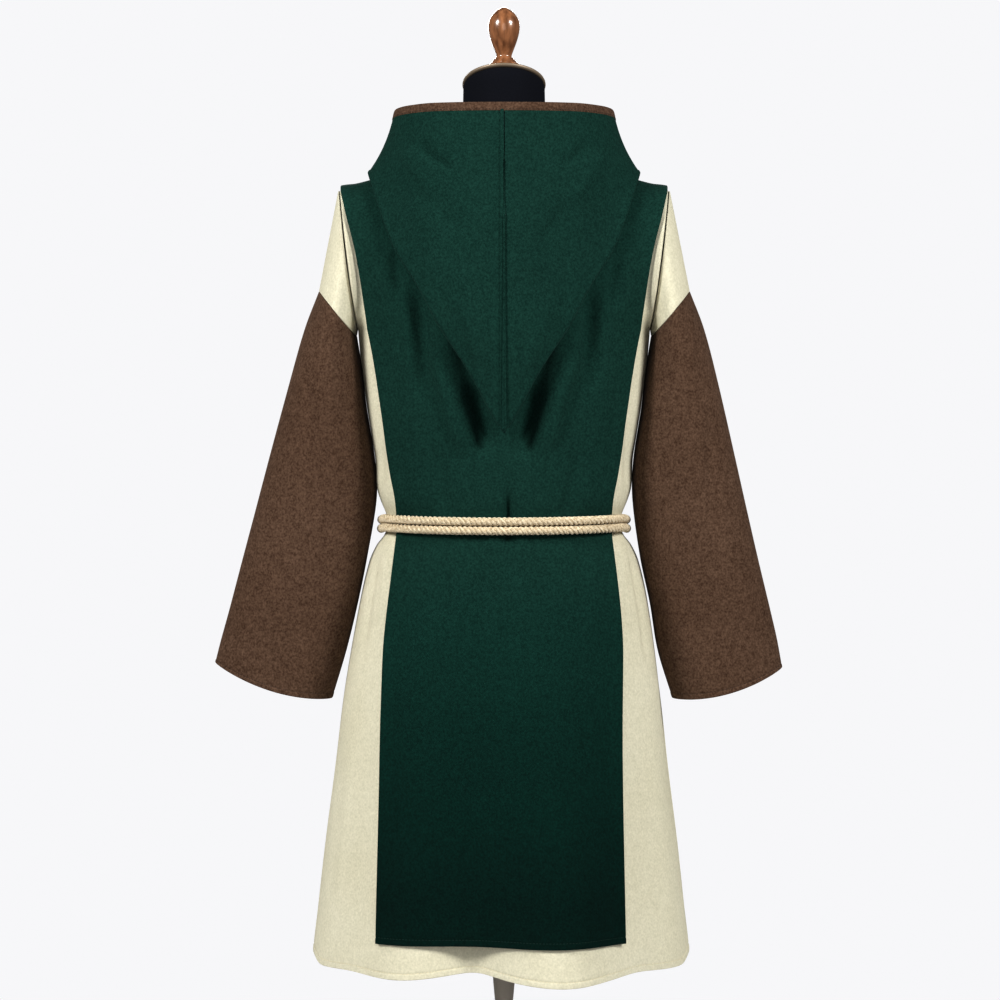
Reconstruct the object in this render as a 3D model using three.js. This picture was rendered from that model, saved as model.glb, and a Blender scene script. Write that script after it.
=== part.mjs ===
// A hooded wool habit on a limbless dress form. The habit is a cream tunic with brown lower sleeves,
// a green scapular, a green pointed hood laid down the back, and a rope belt.
// Millimetres, +Z up, origin at the centre of the base's underside. The front faces -Y, the back +Y,
// and +X is the wearer's left. Every cloth piece is a thin wall, and seams stay 0.3 mm apart.
import * as THREE from "three";

// Cloth and seams
const CLOTH = 2.2; // tunic and sleeve wool
const GREEN_CLOTH = 2.4; // scapular and hood wool
const SEAM = 0.3; // gap between pieces at a seam
const AIR = 0.8; // gap between layers that lie on each other

// Heights
const HEM_Z = 352;
const UNDERARM_Z = 1245;
const SHOULDER_Z = 1442; // at the shoulder's tip
const NECK_Z = 1481; // at the neck's side
const BELT_Z = 969;
const FACE_EDGE_Z = 1557; // top of the hood's edge at the back

// Half widths of the tunic's yoke
const UNDERARM_X = 207;
const SHOULDER_X = 232;
const NECK_X = 81.4;
const NECK_ACROSS = NECK_X / SHOULDER_X;

// Tunic sections from the hem to the underarm: half width, depth of back and front, squareness
const TUNIC = [
  { z: 352, half: 268, back: 186, front: 190, square: 2.15 },
  { z: 406, half: 263, back: 182, front: 186, square: 2.15 },
  { z: 520, half: 250, back: 173, front: 178, square: 2.15 },
  { z: 634, half: 235, back: 163, front: 169, square: 2.2 },
  { z: 747, half: 222, back: 152, front: 158, square: 2.2 },
  { z: 861, half: 204, back: 140, front: 146, square: 2.3 },
  { z: 917, half: 189, back: 131, front: 137, square: 2.3 },
  { z: 940, half: 177, back: 125, front: 129, square: 2.35 },
  { z: 955, half: 167.5, back: 121, front: 125, square: 2.4 },
  { z: 969, half: 166.5, back: 120.5, front: 124.5, square: 2.4 },
  { z: 984, half: 167.5, back: 121, front: 125, square: 2.45 },
  { z: 1002, half: 173.5, back: 122, front: 127, square: 2.5 },
  { z: 1022, half: 180, back: 121.5, front: 127.5, square: 2.55 },
  { z: 1062, half: 182.5, back: 121, front: 128, square: 2.6 },
  { z: 1088, half: 185, back: 121, front: 128, square: 2.6 },
  { z: 1172, half: 198, back: 121, front: 127, square: 2.55 },
  { z: 1245, half: 207, back: 119, front: 124, square: 2.45 },
];

// Folds of the skirt: angle from the left side towards the back, height out of the wall, spread, top
const SKIRT_FOLDS = [
  { angle: 113, out: 34, spread: 19, top: 900 },
  { angle: 77, out: -24, spread: 13, top: 800 },
  { angle: 50, out: 12, spread: 12, top: 860 },
  { angle: 28, out: -4, spread: 8, top: 760 },
  { angle: 146, out: -7, spread: 9, top: 820 },
  { angle: 208, out: -9, spread: 9, top: 790 },
  { angle: 233, out: 20, spread: 14, top: 880 },
  { angle: 262, out: -20, spread: 14, top: 810 },
  { angle: 294, out: 26, spread: 16, top: 900 },
  { angle: 326, out: -10, spread: 9, top: 780 },
];

const SKIRT_SHIFT = 4; // how far the skirt hangs to the left
const HEM_CORNER = { up: 12, spread: 0.03, height: 70 }; // rise of the hem at the side seams

// Half width of the scapular. rise is 0 at the tunic's hem, 1 at the underarm, 2 at the shoulder
const SCAPULAR = [
  { rise: 0.05, half: 163.5 },
  { rise: 0.25, half: 163.5 },
  { rise: 0.49, half: 163 },
  { rise: 0.55, half: 159.5 },
  { rise: 0.61, half: 153.5 },
  { rise: 0.67, half: 147 },
  { rise: 0.69, half: 145.5 },
  { rise: 0.733, half: 148 },
  { rise: 0.771, half: 154.5 },
  { rise: 0.81, half: 160 },
  { rise: 0.849, half: 164.5 },
  { rise: 0.888, half: 169.5 },
  { rise: 0.926, half: 174.5 },
  { rise: 0.965, half: 180.5 },
  { rise: 0.99, half: 185 },
  { rise: 1, half: 186.8 },
  { rise: 1.02, half: 187.2 },
  { rise: 1.1, half: 189.6 },
  { rise: 1.25, half: 195.7 },
  { rise: 1.42, half: 204.8 },
  { rise: 1.55, half: 213 },
  { rise: 1.69, half: 221 },
  { rise: 2, half: 232 },
];
const SCAPULAR_REACH = 0.985; // the most of the yoke's half width that it covers
const BRIDGED = 0.2; // share of the skirt's hollows that it follows, as it hangs straight over them

// Heights of the rows of points, on the same scale
const HEM_RISE = 0;
const COVERED_RISES = [
  0.05, 0.14, 0.22, 0.31, 0.4, 0.49, 0.56, 0.61, 0.64, 0.66, 0.675, 0.691, 0.708, 0.726, 0.76, 0.82, 0.91,
  1, 1.14, 1.29, 1.44, 1.59, 1.74, 1.87, 2,
];

// Sleeve: points of the outer and inner edge seen from behind, and half depth. The first row is
// the seam of the upper and lower sleeve, the last is the cuff
const SLEEVE = [
  { outX: 262, outZ: 1299, inX: 208.8, inZ: 1236, depth: 82 },
  { outX: 283, outZ: 1243, inX: 201.5, inZ: 1190, depth: 81 },
  { outX: 306, outZ: 1161, inX: 195, inZ: 1134, depth: 78 },
  { outX: 332, outZ: 1066, inX: 183.5, inZ: 1062, depth: 73 },
  { outX: 353, outZ: 987, inX: 181, inZ: 1006, depth: 68 },
  { outX: 372, outZ: 916, inX: 194, inZ: 925, depth: 62 },
  { outX: 390, outZ: 848, inX: 208, inZ: 856, depth: 56 },
  { outX: 402, outZ: 805, inX: 224, inZ: 790, depth: 51 },
  { outX: 410, outZ: 774, inX: 244, inZ: 723, depth: 47 },
];
// The right sleeve hangs a little closer, so its rows are its own, mirrored
const SLEEVE_RIGHT = [
  { outX: 263, outZ: 1299, inX: 208.8, inZ: 1236, depth: 82 },
  { outX: 284, outZ: 1243, inX: 201.5, inZ: 1190, depth: 81 },
  { outX: 305, outZ: 1161, inX: 195, inZ: 1134, depth: 78 },
  { outX: 327, outZ: 1066, inX: 185, inZ: 1062, depth: 73 },
  { outX: 345, outZ: 987, inX: 184.5, inZ: 1006, depth: 68 },
  { outX: 361.5, outZ: 916, inX: 193, inZ: 925, depth: 62 },
  { outX: 378, outZ: 848, inX: 207.5, inZ: 856, depth: 56 },
  { outX: 388, outZ: 805, inX: 218.5, inZ: 790, depth: 51 },
  { outX: 395, outZ: 767, inX: 239, inZ: 723, depth: 47 },
];
const CUFF_BOW = 13; // how far the cuff's middle hangs below its two sides

// Hood, from its point at the back round to the middle of the front. fold is where its cloth turns
// back under itself, edge is the top of its face opening, neck is where it is sewn down, as a share
// of the shoulder's width, and puff is how far its side swells. way is 1 on the back, -1 on the front
const HOOD = [
  { way: 1, foldX: 0, foldZ: 1100, edgeX: 0, edgeY: 112, edgeZ: FACE_EDGE_Z, neck: 0, puff: 20 },
  { way: 1, foldX: 18, foldZ: 1124, edgeX: 26, edgeY: 111, edgeZ: FACE_EDGE_Z, neck: 0.07, puff: 20 },
  { way: 1, foldX: 50, foldZ: 1184, edgeX: 52, edgeY: 108, edgeZ: FACE_EDGE_Z, neck: 0.14, puff: 18 },
  { way: 1, foldX: 85, foldZ: 1241, edgeX: 79, edgeY: 102, edgeZ: FACE_EDGE_Z, neck: 0.21, puff: 15 },
  { way: 1, foldX: 117, foldZ: 1300, edgeX: 105, edgeY: 91, edgeZ: FACE_EDGE_Z, neck: 0.28, puff: 9 },
  { way: 1, foldX: 150, foldZ: 1352, edgeX: 128, edgeY: 74, edgeZ: 1556, neck: 0.35, puff: 3 },
  { way: 1, foldX: 174, foldZ: 1408, edgeX: 145, edgeY: 50, edgeZ: 1555, neck: 0.41, puff: -3 },
  { way: 1, foldX: 188, foldZ: 1448, edgeX: 154, edgeY: 18, edgeZ: 1553, neck: 0.46, puff: -6 },
  { way: -1, foldX: 186, foldZ: 1441, edgeX: 153, edgeY: -16, edgeZ: 1545, neck: 0.47, puff: -6 },
  { way: -1, foldX: 170, foldZ: 1403, edgeX: 139, edgeY: -54, edgeZ: 1524, neck: 0.43, puff: -1 },
  { way: -1, foldX: 128, foldZ: 1364, edgeX: 108, edgeY: -88, edgeZ: 1492, neck: 0.33, puff: 5 },
  { way: -1, foldX: 66, foldZ: 1336, edgeX: 58, edgeY: -112, edgeZ: 1458, neck: 0.17, puff: 12 },
  { way: -1, foldX: 0, foldZ: 1326, edgeX: 0, edgeY: -119, edgeZ: 1442, neck: 0, puff: 12 },
];
const HOOD_PLY = 10; // height of the folded cloth at the hood's outline
const BAND_WIDTH = 13;
const BAND_THICK = 4.4;

// Rope belt
const ROPE = 12; // diameter
const ROPE_SIDES = 8;
const BELT_AIR = 1.2; // gap between the rope and what it lies on
const KNOT_NEST = 0.9; // how far the knot lies in between the two turns
const KNOT = { x: 20, y: 12, z: 15 }; // half sizes of the knot at the front
const TURN_END = 1.5; // how far each turn's ends stay from the middle, behind the knot
const TAIL_END_KNOT = 11; // radius
const TAIL_END_FORWARD = 5; // how far the end knots stand before the rope's middle
const TAIL_AIR = 2.5; // gap between a hanging end and the scapular
const TAILS = [
  { name: "left", x: 7, sway: 22, drop: 395 },
  { name: "right", x: -7, sway: -16, drop: 430 },
];

// Dress form: rings of the torso and neck from the bottom up
const FORM = [
  { z: 792, half: 160, back: 104, front: 104, square: 2.2 },
  { z: 800, half: 172, back: 114, front: 114, square: 2.2 },
  { z: 861, half: 180, back: 120, front: 122, square: 2.2 },
  { z: 917, half: 168, back: 109, front: 116, square: 2.2 },
  { z: 975, half: 153, back: 98, front: 109, square: 2.2 },
  { z: 1088, half: 164, back: 96, front: 112, square: 2.2 },
  { z: 1172, half: 176, back: 98, front: 115, square: 2.2 },
  { z: 1245, half: 186, back: 100, front: 112, square: 2.3 },
  { z: 1310, half: 192, back: 99, front: 105, square: 2.3 },
  { z: 1370, half: 194, back: 90, front: 90, square: 2.2 },
  { z: 1410, half: 190, back: 72, front: 70, square: 1.8 },
  { z: 1436, half: 176, back: 62, front: 60, square: 1.5 },
  { z: 1453, half: 146, back: 54, front: 52, square: 1.3 },
  { z: 1466, half: 115, back: 52, front: 49, square: 1.2 },
  { z: 1474, half: 87, back: 48, front: 43, square: 1.2 },
  { z: 1479, half: 70, back: 51, front: 49, square: 1.5 },
  { z: 1486, half: 64, back: 55, front: 54, square: 1.8 },
  { z: 1500, half: 60, back: 57.5, front: 57.5, square: 2 },
  { z: 1587.5, half: 57.5, back: 57.5, front: 57.5, square: 2 },
];
const NECK_TILT = 0.4; // slope of the neck's top, higher at the back

// Stand
const POLE = { top: 791.4, foot: 10.3, wide: 16, thin: 12.5, taperTop: 326, taperEnd: 286 };
const BASE = { radius: 190, rim: 6, height: 10 };
const FINIAL_FOOT = 19; // radius
const PLATE = { radius: 57.5, thick: 6, gap: 0.3 };

const PALETTE = {
  cream: { color: 0xe0d6b8, roughness: 0.9, metalness: 0 },
  brown: { color: 0x584438, roughness: 0.92, metalness: 0 },
  green: { color: 0x16382c, roughness: 0.92, metalness: 0 },
  rope: { color: 0xdcc79c, roughness: 0.8, metalness: 0 },
  jersey: { color: 0x14161c, roughness: 0.85, metalness: 0 },
  wood: { color: 0x8a4a22, roughness: 0.3, metalness: 0 },
  bronze: { color: 0x7a6650, roughness: 0.4, metalness: 0.6 },
  stand: { color: 0x8c8276, roughness: 0.5, metalness: 0.2 },
};

const { abs, min, max, sign, sqrt, hypot, PI, sin, cos, atan2, exp } = Math;
const mix = (a, b, t) => a + (b - a) * t;
const clamp = (v, low, high) => min(max(v, low), high);
const soften = (t) => t * t * (3 - 2 * t);
const add = (p, q, k = 1) => p.map((v, i) => v + q[i] * k);
const minus = (p, q) => add(p, q, -1);
const dot = (p, q) => p[0] * q[0] + p[1] * q[1] + p[2] * q[2];
const unit = (p) => p.map((v) => v / (hypot(...p) || 1));
const cross = (p, q) => [
  p[1] * q[2] - p[2] * q[1],
  p[2] * q[0] - p[0] * q[2],
  p[0] * q[1] - p[1] * q[0],
];
const steps = (count, from = 0, to = 1) =>
  Array.from({ length: count + 1 }, (_, i) => mix(from, to, i / count));

// A row read off a table at any value of one column, on a smooth curve through the table's rows
function readRow(table, key, value) {
  const last = table.length - 1;
  const v = clamp(value, table[0][key], table[last][key]);
  const i = clamp(table.findIndex((row) => row[key] > v) - 1, 0, last - 1);
  const at = v >= table[last][key] ? last - 1 : i;
  const [before, low, high, after] = [at - 1, at, at + 1, at + 2].map((k) => table[clamp(k, 0, last)]);
  const span = high[key] - low[key];
  const t = (v - low[key]) / span;
  const row = {};
  for (const name of Object.keys(low)) {
    const slopeLow = ((high[name] - before[name]) / (high[key] - before[key] || 1)) * span;
    const slopeHigh = ((after[name] - low[name]) / (after[key] - low[key] || 1)) * span;
    row[name] =
      (2 * t ** 3 - 3 * t ** 2 + 1) * low[name] +
      (t ** 3 - 2 * t ** 2 + t) * slopeLow +
      (3 * t ** 2 - 2 * t ** 3) * high[name] +
      (t ** 3 - t ** 2) * slopeHigh;
  }
  return row;
}

function bezier(a, b, c, d, t) {
  const u = 1 - t;
  return a.map((_, i) => u ** 3 * a[i] + 3 * u * u * t * b[i] + 3 * u * t * t * c[i] + t ** 3 * d[i]);
}

// How far the skirt's folds push the wall out, or in, at an angle and height. hollow is the share
// of each hollow that the cloth follows
function skirtFold(angle, z, hollow) {
  return SKIRT_FOLDS.reduce((sum, fold) => {
    const turn = abs(((angle - fold.angle + 540) % 360) - 180);
    const fade = clamp((fold.top - z) / (fold.top - HEM_Z), 0, 1);
    const out = fold.out * (fold.out < 0 ? hollow : 1);
    return sum + out * soften(fade) * exp(-((turn / fold.spread) ** 2));
  }, 0);
}

// The tunic below the underarm. across is 1 at the left side seam and -1 at the right one,
// and way is 1 on the back and -1 on the front
function skirtPoint(across, z, way, hollow = 1) {
  const row = readRow(TUNIC, "z", z);
  const x = row.half * across;
  const depth = way > 0 ? row.back : row.front;
  const y = way * depth * max(0, 1 - abs(across) ** row.square) ** (1 / row.square);
  const angle = atan2(y, x);
  const push = skirtFold((angle * 180) / PI + 360, z, hollow);
  const sag = hollow < 1 ? 0 : 0.25 * push * soften((UNDERARM_Z - z) / (UNDERARM_Z - HEM_Z));
  const shift = SKIRT_SHIFT * soften(clamp((900 - z) / 250, 0, 1));
  const { up, spread, height } = HEM_CORNER;
  const low = soften(clamp((HEM_Z + height - z) / height, 0, 1));
  const corner = up * low * exp(-(((1 - abs(across)) / spread) ** 2));
  return [x + push * cos(angle) + shift, y + push * sin(angle), z - sag + corner];
}

// The line that the yoke ends on: the shoulder seam, and the neckline between the two seams
function yokeTop(across, way) {
  const side = abs(across);
  const x = SHOULDER_X * across;
  if (side >= NECK_ACROSS)
    return [x, 0, mix(NECK_Z, SHOULDER_Z, (side - NECK_ACROSS) / (1 - NECK_ACROSS))];
  const dip = sqrt(1 - (side / NECK_ACROSS) ** 2);
  return way > 0 ? [x, 71 * dip, NECK_Z + 2 * dip] : [x, -76 * dip, NECK_Z - 34 * dip];
}

// A point of the tunic's outer face. rise is 0 at the hem, 1 at the underarm and 2 at the yoke's top
function tunicPoint(across, rise, way, hollow = 1) {
  if (rise <= 1) return skirtPoint(across, mix(HEM_Z, UNDERARM_Z, rise), way, hollow);
  const low = skirtPoint(across, UNDERARM_Z, way);
  const top = yokeTop(across, way);
  const side = abs(across);
  const neck = soften(clamp(1 - side / NECK_ACROSS, 0, 1));
  const lift = 70 * (1 - side ** 24);
  const out = 8 + 92 * side ** 30;
  const topOut = (48 + 52 * side ** 2) * (1 - 0.55 * neck);
  const a = add(low, [0, way * out, lift]);
  const b = add(top, [0, way * topOut, -42 * neck]);
  return bezier(low, a, b, top, rise - 1);
}

// The same point moved out along the tunic's normal
function liftedPoint(across, rise, way, out) {
  const step = 0.02;
  const p = tunicPoint(across, rise, way);
  const s0 = max(across - step, -1);
  const s1 = min(across + step, 1);
  const r1 = min(rise + step, 2);
  const alongX = minus(tunicPoint(s1, rise, way), tunicPoint(s0, rise, way));
  const alongZ = minus(tunicPoint(across, r1, way), tunicPoint(across, r1 - 2 * step, way));
  const normal = unit(cross(alongX, alongZ));
  return add(p, normal, dot(normal, [p[0], p[1], 0]) < 0 ? -out : out);
}

// A closed body between two grids of points, the second lying inside the first. Rows run along the
// piece. Columns close on themselves where around is true
function closedBody(outer, inner, around) {
  const rows = outer.length;
  const cols = outer[0].length;
  const points = [...outer.flat(), ...inner.flat()];
  const at = (face, r, c) => face * rows * cols + r * cols + (c % cols);
  const faces = [];
  const quad = (a, b, c, d) => faces.push([a, b, c], [a, c, d]);
  const lastCol = around ? cols : cols - 1;
  for (let r = 0; r < rows - 1; r++)
    for (let c = 0; c < lastCol; c++) {
      quad(at(0, r, c), at(0, r, c + 1), at(0, r + 1, c + 1), at(0, r + 1, c));
      quad(at(1, r, c), at(1, r + 1, c), at(1, r + 1, c + 1), at(1, r, c + 1));
    }
  for (let c = 0; c < lastCol; c++) {
    quad(at(0, 0, c), at(1, 0, c), at(1, 0, c + 1), at(0, 0, c + 1));
    quad(at(0, rows - 1, c), at(0, rows - 1, c + 1), at(1, rows - 1, c + 1), at(1, rows - 1, c));
  }
  if (!around)
    for (let r = 0; r < rows - 1; r++) {
      quad(at(0, r, 0), at(0, r + 1, 0), at(1, r + 1, 0), at(1, r, 0));
      const c = cols - 1;
      quad(at(0, r, c), at(1, r, c), at(1, r + 1, c), at(0, r + 1, c));
    }
  const volume = faces.reduce(
    (sum, [a, b, c]) => sum + dot(points[a], cross(points[b], points[c])),
    0,
  );
  if (volume < 0) faces.forEach((face) => face.reverse());
  const geometry = new THREE.BufferGeometry();
  geometry.setAttribute("position", new THREE.Float32BufferAttribute(points.flat(), 3));
  geometry.setIndex(faces.flat());
  geometry.computeVertexNormals();
  return geometry;
}

// Normals of a grid of points, facing away from the middle of the piece
function gridNormals(grid, around) {
  const rows = grid.length;
  const cols = grid[0].length;
  const wrap = (c) => (around ? (c + cols) % cols : clamp(c, 0, cols - 1));
  const normals = grid.map((line, r) =>
    line.map((p, c) => {
      const along = minus(grid[min(r + 1, rows - 1)][c], grid[max(r - 1, 0)][c]);
      const acrossGrid = minus(line[wrap(c + 1)], line[wrap(c - 1)]);
      let n = cross(acrossGrid, along);
      if (abs(p[0]) < 1e-4) n = [0, n[1], n[2]];
      if (abs(p[1]) < 1e-4) n = [n[0], 0, n[2]];
      return unit(n);
    }),
  );
  const all = grid.flat();
  const middle = all.reduce((sum, p) => add(sum, p, 1 / all.length), [0, 0, 0]);
  const facing = all.reduce((sum, p, i) => sum + dot(normals.flat()[i], minus(p, middle)), 0);
  return normals.map((line) => line.map((n) => n.map((v) => v * sign(facing))));
}

// A thin wall on a grid of points, from one distance along the normals to another, then shifted
function wall(grid, low, high, { around = false, shift = [0, 0, 0] } = {}) {
  const normals = gridNormals(grid, around);
  const face = (out) => grid.map((line, r) => line.map((p, c) => add(add(p, normals[r][c], out), shift)));
  return closedBody(face(high), face(low), around);
}

const root = new THREE.Group();
function piece(name, geometry, look) {
  const mesh = new THREE.Mesh(geometry, new THREE.MeshStandardMaterial(PALETTE[look]));
  mesh.name = name;
  root.add(mesh);
}

// Half width of a level of the tunic, and the share of it that the scapular covers
const halfWidthAt = (rise) =>
  rise > 1
    ? mix(UNDERARM_X, SHOULDER_X, soften(rise - 1))
    : readRow(TUNIC, "z", mix(HEM_Z, UNDERARM_Z, rise)).half;
const reachAt = (rise) => min(SCAPULAR_REACH, readRow(SCAPULAR, "rise", rise).half / halfWidthAt(rise));

// Columns under the scapular, as shares of its reach, with one on each end of the neckline
const neckShare = NECK_ACROSS / SCAPULAR_REACH;
const halfColumns = [neckShare / 3, (2 * neckShare) / 3, neckShare, 0.5, 0.66, 0.83, 1];
const COLUMNS = [...halfColumns.map((s) => -s).reverse(), 0, ...halfColumns];
const SIDE_COLUMNS = 4;

// The tunic's points on one level, from the right side seam to the left one
function panelRow(rise, way) {
  const reach = reachAt(rise);
  const side = steps(SIDE_COLUMNS).map((t) => mix(reach, 1, sin((t * PI) / 2))).slice(1);
  const places = [...side.map((s) => -s).reverse(), ...COLUMNS.map((s) => s * reach), ...side];
  return places.map((s) => tunicPoint(s, rise, way));
}

// The same level's points that the scapular lies on
const coveredRow = (rise, way) => COLUMNS.map((s) => tunicPoint(s * reachAt(rise), rise, way, BRIDGED));

function panels(way, name) {
  const shift = [0, (way * SEAM) / 2, 0];
  const tunic = [HEM_RISE, ...COVERED_RISES].map((rise) => panelRow(rise, way));
  piece("tunic_" + name, wall(tunic, -CLOTH, 0, { shift }), "cream");
  const scapular = COVERED_RISES.map((rise) => coveredRow(rise, way));
  piece("scapular_" + name, wall(scapular, AIR, AIR + GREEN_CLOTH, { shift }), "green");
}

// A ring of the left sleeve: an ellipse whose ends are a row's outer and inner points
function sleeveRing(row, sides, bow = 0) {
  return steps(sides - 1, 0, (2 * PI * (sides - 1)) / sides).map((turn) => {
    const t = (1 + cos(turn)) / 2;
    const hang = bow * sin(turn) ** 2;
    return [mix(row.inX, row.outX, t), row.depth * sin(turn), mix(row.inZ, row.outZ, t) - hang];
  });
}

// The armhole of the left side as a ring of the sleeve's head, just outside the tunic's edge
function armholeRing(sides) {
  return steps(sides - 1, 0, (2 * PI * (sides - 1)) / sides).map((turn) => {
    const high = (1 + cos(turn)) / 2;
    const way = sin(turn) >= 0 ? 1 : -1;
    const rise = 2 - (turn <= PI ? turn : 2 * PI - turn) / PI;
    const p = tunicPoint(1, rise, way);
    const pad = way * (SEAM / 2) * (abs(sin(turn)) > 0.01 ? 1 : 0);
    return add(p, [SEAM + CLOTH * high, pad, -high]);
  });
}

const mirrored = (grid) => grid.map((line) => line.map(([x, y, z]) => [-x, y, z]));

function sleeves() {
  const sides = 20;
  const armhole = armholeRing(sides);
  for (const [side, turn, rows] of [["left", (g) => g, SLEEVE], ["right", mirrored, SLEEVE_RIGHT]]) {
    const [top, next] = rows;
    const seam = sleeveRing(top, sides);
    const head = steps(2).map((t) => armhole.map((p, i) => p.map((v, k) => mix(v, seam[i][k], t))));
    const lower = rows.map((row, i) => sleeveRing(row, sides, i === rows.length - 1 ? CUFF_BOW : 0));
    const down = unit([next.outX - top.outX, 0, next.outZ - top.outZ]);
    lower[0] = lower[0].map((p) => add(p, down, SEAM * 1.5));
    piece("sleeve_head_" + side, wall(turn(head), -CLOTH, 0, { around: true }), "cream");
    piece("sleeve_" + side, wall(turn(lower), -CLOTH, 0, { around: true }), "brown");
  }
}

// Where a point of the tunic's yoke lies, as across and as over: the way past the shoulder seam,
// positive on the back and negative on the front
function placeOnYoke(x, z, way) {
  const acrossAt = (rise) => clamp(x / mix(UNDERARM_X, SHOULDER_X, soften(clamp(rise - 1, 0, 1))), -1, 1);
  let low = 0.5;
  let high = 2;
  for (let i = 0; i < 40; i++) {
    const rise = (low + high) / 2;
    if (tunicPoint(acrossAt(rise), rise, way)[2] < z) low = rise;
    else high = rise;
  }
  return { across: acrossAt(low), over: way * (2 - low) };
}

// Heights over the tunic of the hood's under face: at the neck, and how much higher at the fold and
// half way between
const HOOD_REST = 2 * AIR + GREEN_CLOTH;
const HOOD_LOFT = 3.5;
const POINT_LOFT = 10; // more of it at the hood's point
const HOOD_CHEST = 1.5; // more of it before the chest
const HOOD_SWELL = 4;
const NECK_OVER = { back: 0.09, front: 0.33 }; // how far before the neckline it ends, on the scale of rise

const overPoint = (across, over, out) => liftedPoint(across, 2 - abs(over), over < 0 ? -1 : 1, out);

// The hood's table with the fold's places on the yoke, a column for each share of the way round.
// Up to the row FOLD_DIRECT the fold is placed from its own x and z at every step
const FOLD_DIRECT = 5;
const HOOD_WAY = HOOD.map((row, i) => ({ round: i, ...row, ...placeOnYoke(row.foldX, row.foldZ, row.way) }));

function foldPlace(round) {
  const row = readRow(HOOD_WAY, "round", round);
  const direct = placeOnYoke(row.foldX, row.foldZ, 1);
  const share = soften(clamp(round - FOLD_DIRECT, 0, 1));
  return { across: mix(direct.across, row.across, share), over: mix(direct.over, row.over, share) };
}

// One line of the hood's outer face: a curve from the face edge down to the fold, and the points
// from the fold back up to the neck
function hoodLine(round) {
  const end = HOOD.length - 1;
  const row = readRow(HOOD_WAY, "round", round);
  const place = foldPlace(round);
  const before = foldPlace(max(round - 0.1, 0));
  const after = foldPlace(min(round + 0.1, end));
  const loft = HOOD_LOFT + POINT_LOFT * soften(clamp((3.2 - round) / 2.4, 0, 1));
  const height = HOOD_REST + loft;
  const fold = overPoint(place.across, place.over, height);
  const normal = unit(minus(overPoint(place.across, place.over, height + 1), fold));
  const next = overPoint(after.across, after.over, height);
  const along = minus(next, overPoint(before.across, before.over, height));
  let outward = unit(cross(along, normal));
  if (round === 0 || round === end) outward = [0, 0, -1];
  if (dot(outward, [place.across, 0, -1]) < 0) outward = outward.map((v) => -v);
  const ply = HOOD_PLY / 2;
  const seat = add(fold, outward, -ply);
  const crest = add(seat, normal, HOOD_PLY);
  const edge = [row.edgeX, row.edgeY, row.edgeZ];
  const fall = minus(crest, edge);
  const puff = unit(add(normal, unit([edge[0], edge[1], 0])));
  const a = add(add(edge, fall, 1 / 3), puff, row.puff);
  const b = add(add(edge, fall, 2 / 3), puff, row.puff);
  const turn = [0.25, 0.5, 0.75].map((t) =>
    add(add(add(seat, normal, ply), normal, ply * cos(t * PI)), outward, ply * sin(t * PI)),
  );
  const facing = cos((round / end) * PI);
  const neckOver = facing * (facing > 0 ? NECK_OVER.back : NECK_OVER.front);
  const under = steps(8).map((t) => {
    const out = HOOD_REST + loft * (1 - t) + HOOD_SWELL * sin(t * PI) + HOOD_CHEST * max(0, -facing);
    const p = overPoint(mix(place.across, row.neck, t), mix(place.over, neckOver, t), out);
    return add(p, minus(seat, fold), 1 - t);
  });
  const bandEnd = BAND_WIDTH / (3 * hypot(...minus(a, edge)));
  return { face: (t) => bezier(edge, a, b, crest, t), bandEnd, rest: [...turn, ...under] };
}

function hood() {
  const end = HOOD.length - 1;
  const lines = steps(18, 0, end).map(hoodLine);
  const gap = 1 + (2 * SEAM) / BAND_WIDTH;
  const grid = lines.map(({ face, bandEnd, rest }) => [...steps(7, bandEnd * gap, 1).map(face), ...rest]);
  for (const [side, turn, way] of [["left", (g) => g, 1], ["right", mirrored, -1]])
    piece("hood_" + side, wall(turn(grid), -GREEN_CLOTH, 0, { shift: [(way * SEAM) / 2, 0, 0] }), "green");
  const half = [0, 0.5, 1].map((t) => lines.map(({ face, bandEnd }) => face(t * bandEnd)));
  const other = mirrored(half).map((line) => line.slice(1, -1).reverse());
  const bandGrid = half.map((line, i) => [...line, ...other[i]]);
  piece("hood_band", wall(bandGrid, 1 - BAND_THICK, 1, { around: true }), "brown");
}

// A solid of revolution or loft through rings of one count of points, capped at both ends
function loft(rings) {
  const cols = rings[0].length;
  const points = rings.flat();
  const faces = [];
  for (let r = 0; r < rings.length - 1; r++)
    for (let c = 0; c < cols; c++) {
      const [a, b] = [r * cols + c, r * cols + ((c + 1) % cols)];
      faces.push([a, b, b + cols], [a, b + cols, a + cols]);
    }
  for (const [r, flip] of [[0, true], [rings.length - 1, false]]) {
    const centre = points.push(rings[r].reduce((sum, p) => add(sum, p, 1 / cols), [0, 0, 0])) - 1;
    for (let c = 0; c < cols; c++) {
      const face = [centre, r * cols + c, r * cols + ((c + 1) % cols)];
      faces.push(flip ? face.reverse() : face);
    }
  }
  const geometry = new THREE.BufferGeometry();
  geometry.setAttribute("position", new THREE.Float32BufferAttribute(points.flat(), 3));
  geometry.setIndex(faces.flat());
  geometry.computeVertexNormals();
  return geometry;
}

// A ring with its own half width, back and front depth and squareness, tilted up towards the back
function formRing({ z, half, back, front, square }, tilt = 0) {
  const sides = 24;
  const power = (v) => sign(v) * abs(v) ** (2 / square);
  return steps(sides - 1, 0, (2 * PI * (sides - 1)) / sides).map((turn) => {
    const y = (sin(turn) > 0 ? back : front) * power(sin(turn));
    return [half * power(cos(turn)), y, z + tilt * y];
  });
}

function turned(profile, sides) {
  return new THREE.LatheGeometry(profile.map(([r, z]) => new THREE.Vector2(r, z)), sides).rotateX(PI / 2);
}

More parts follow.
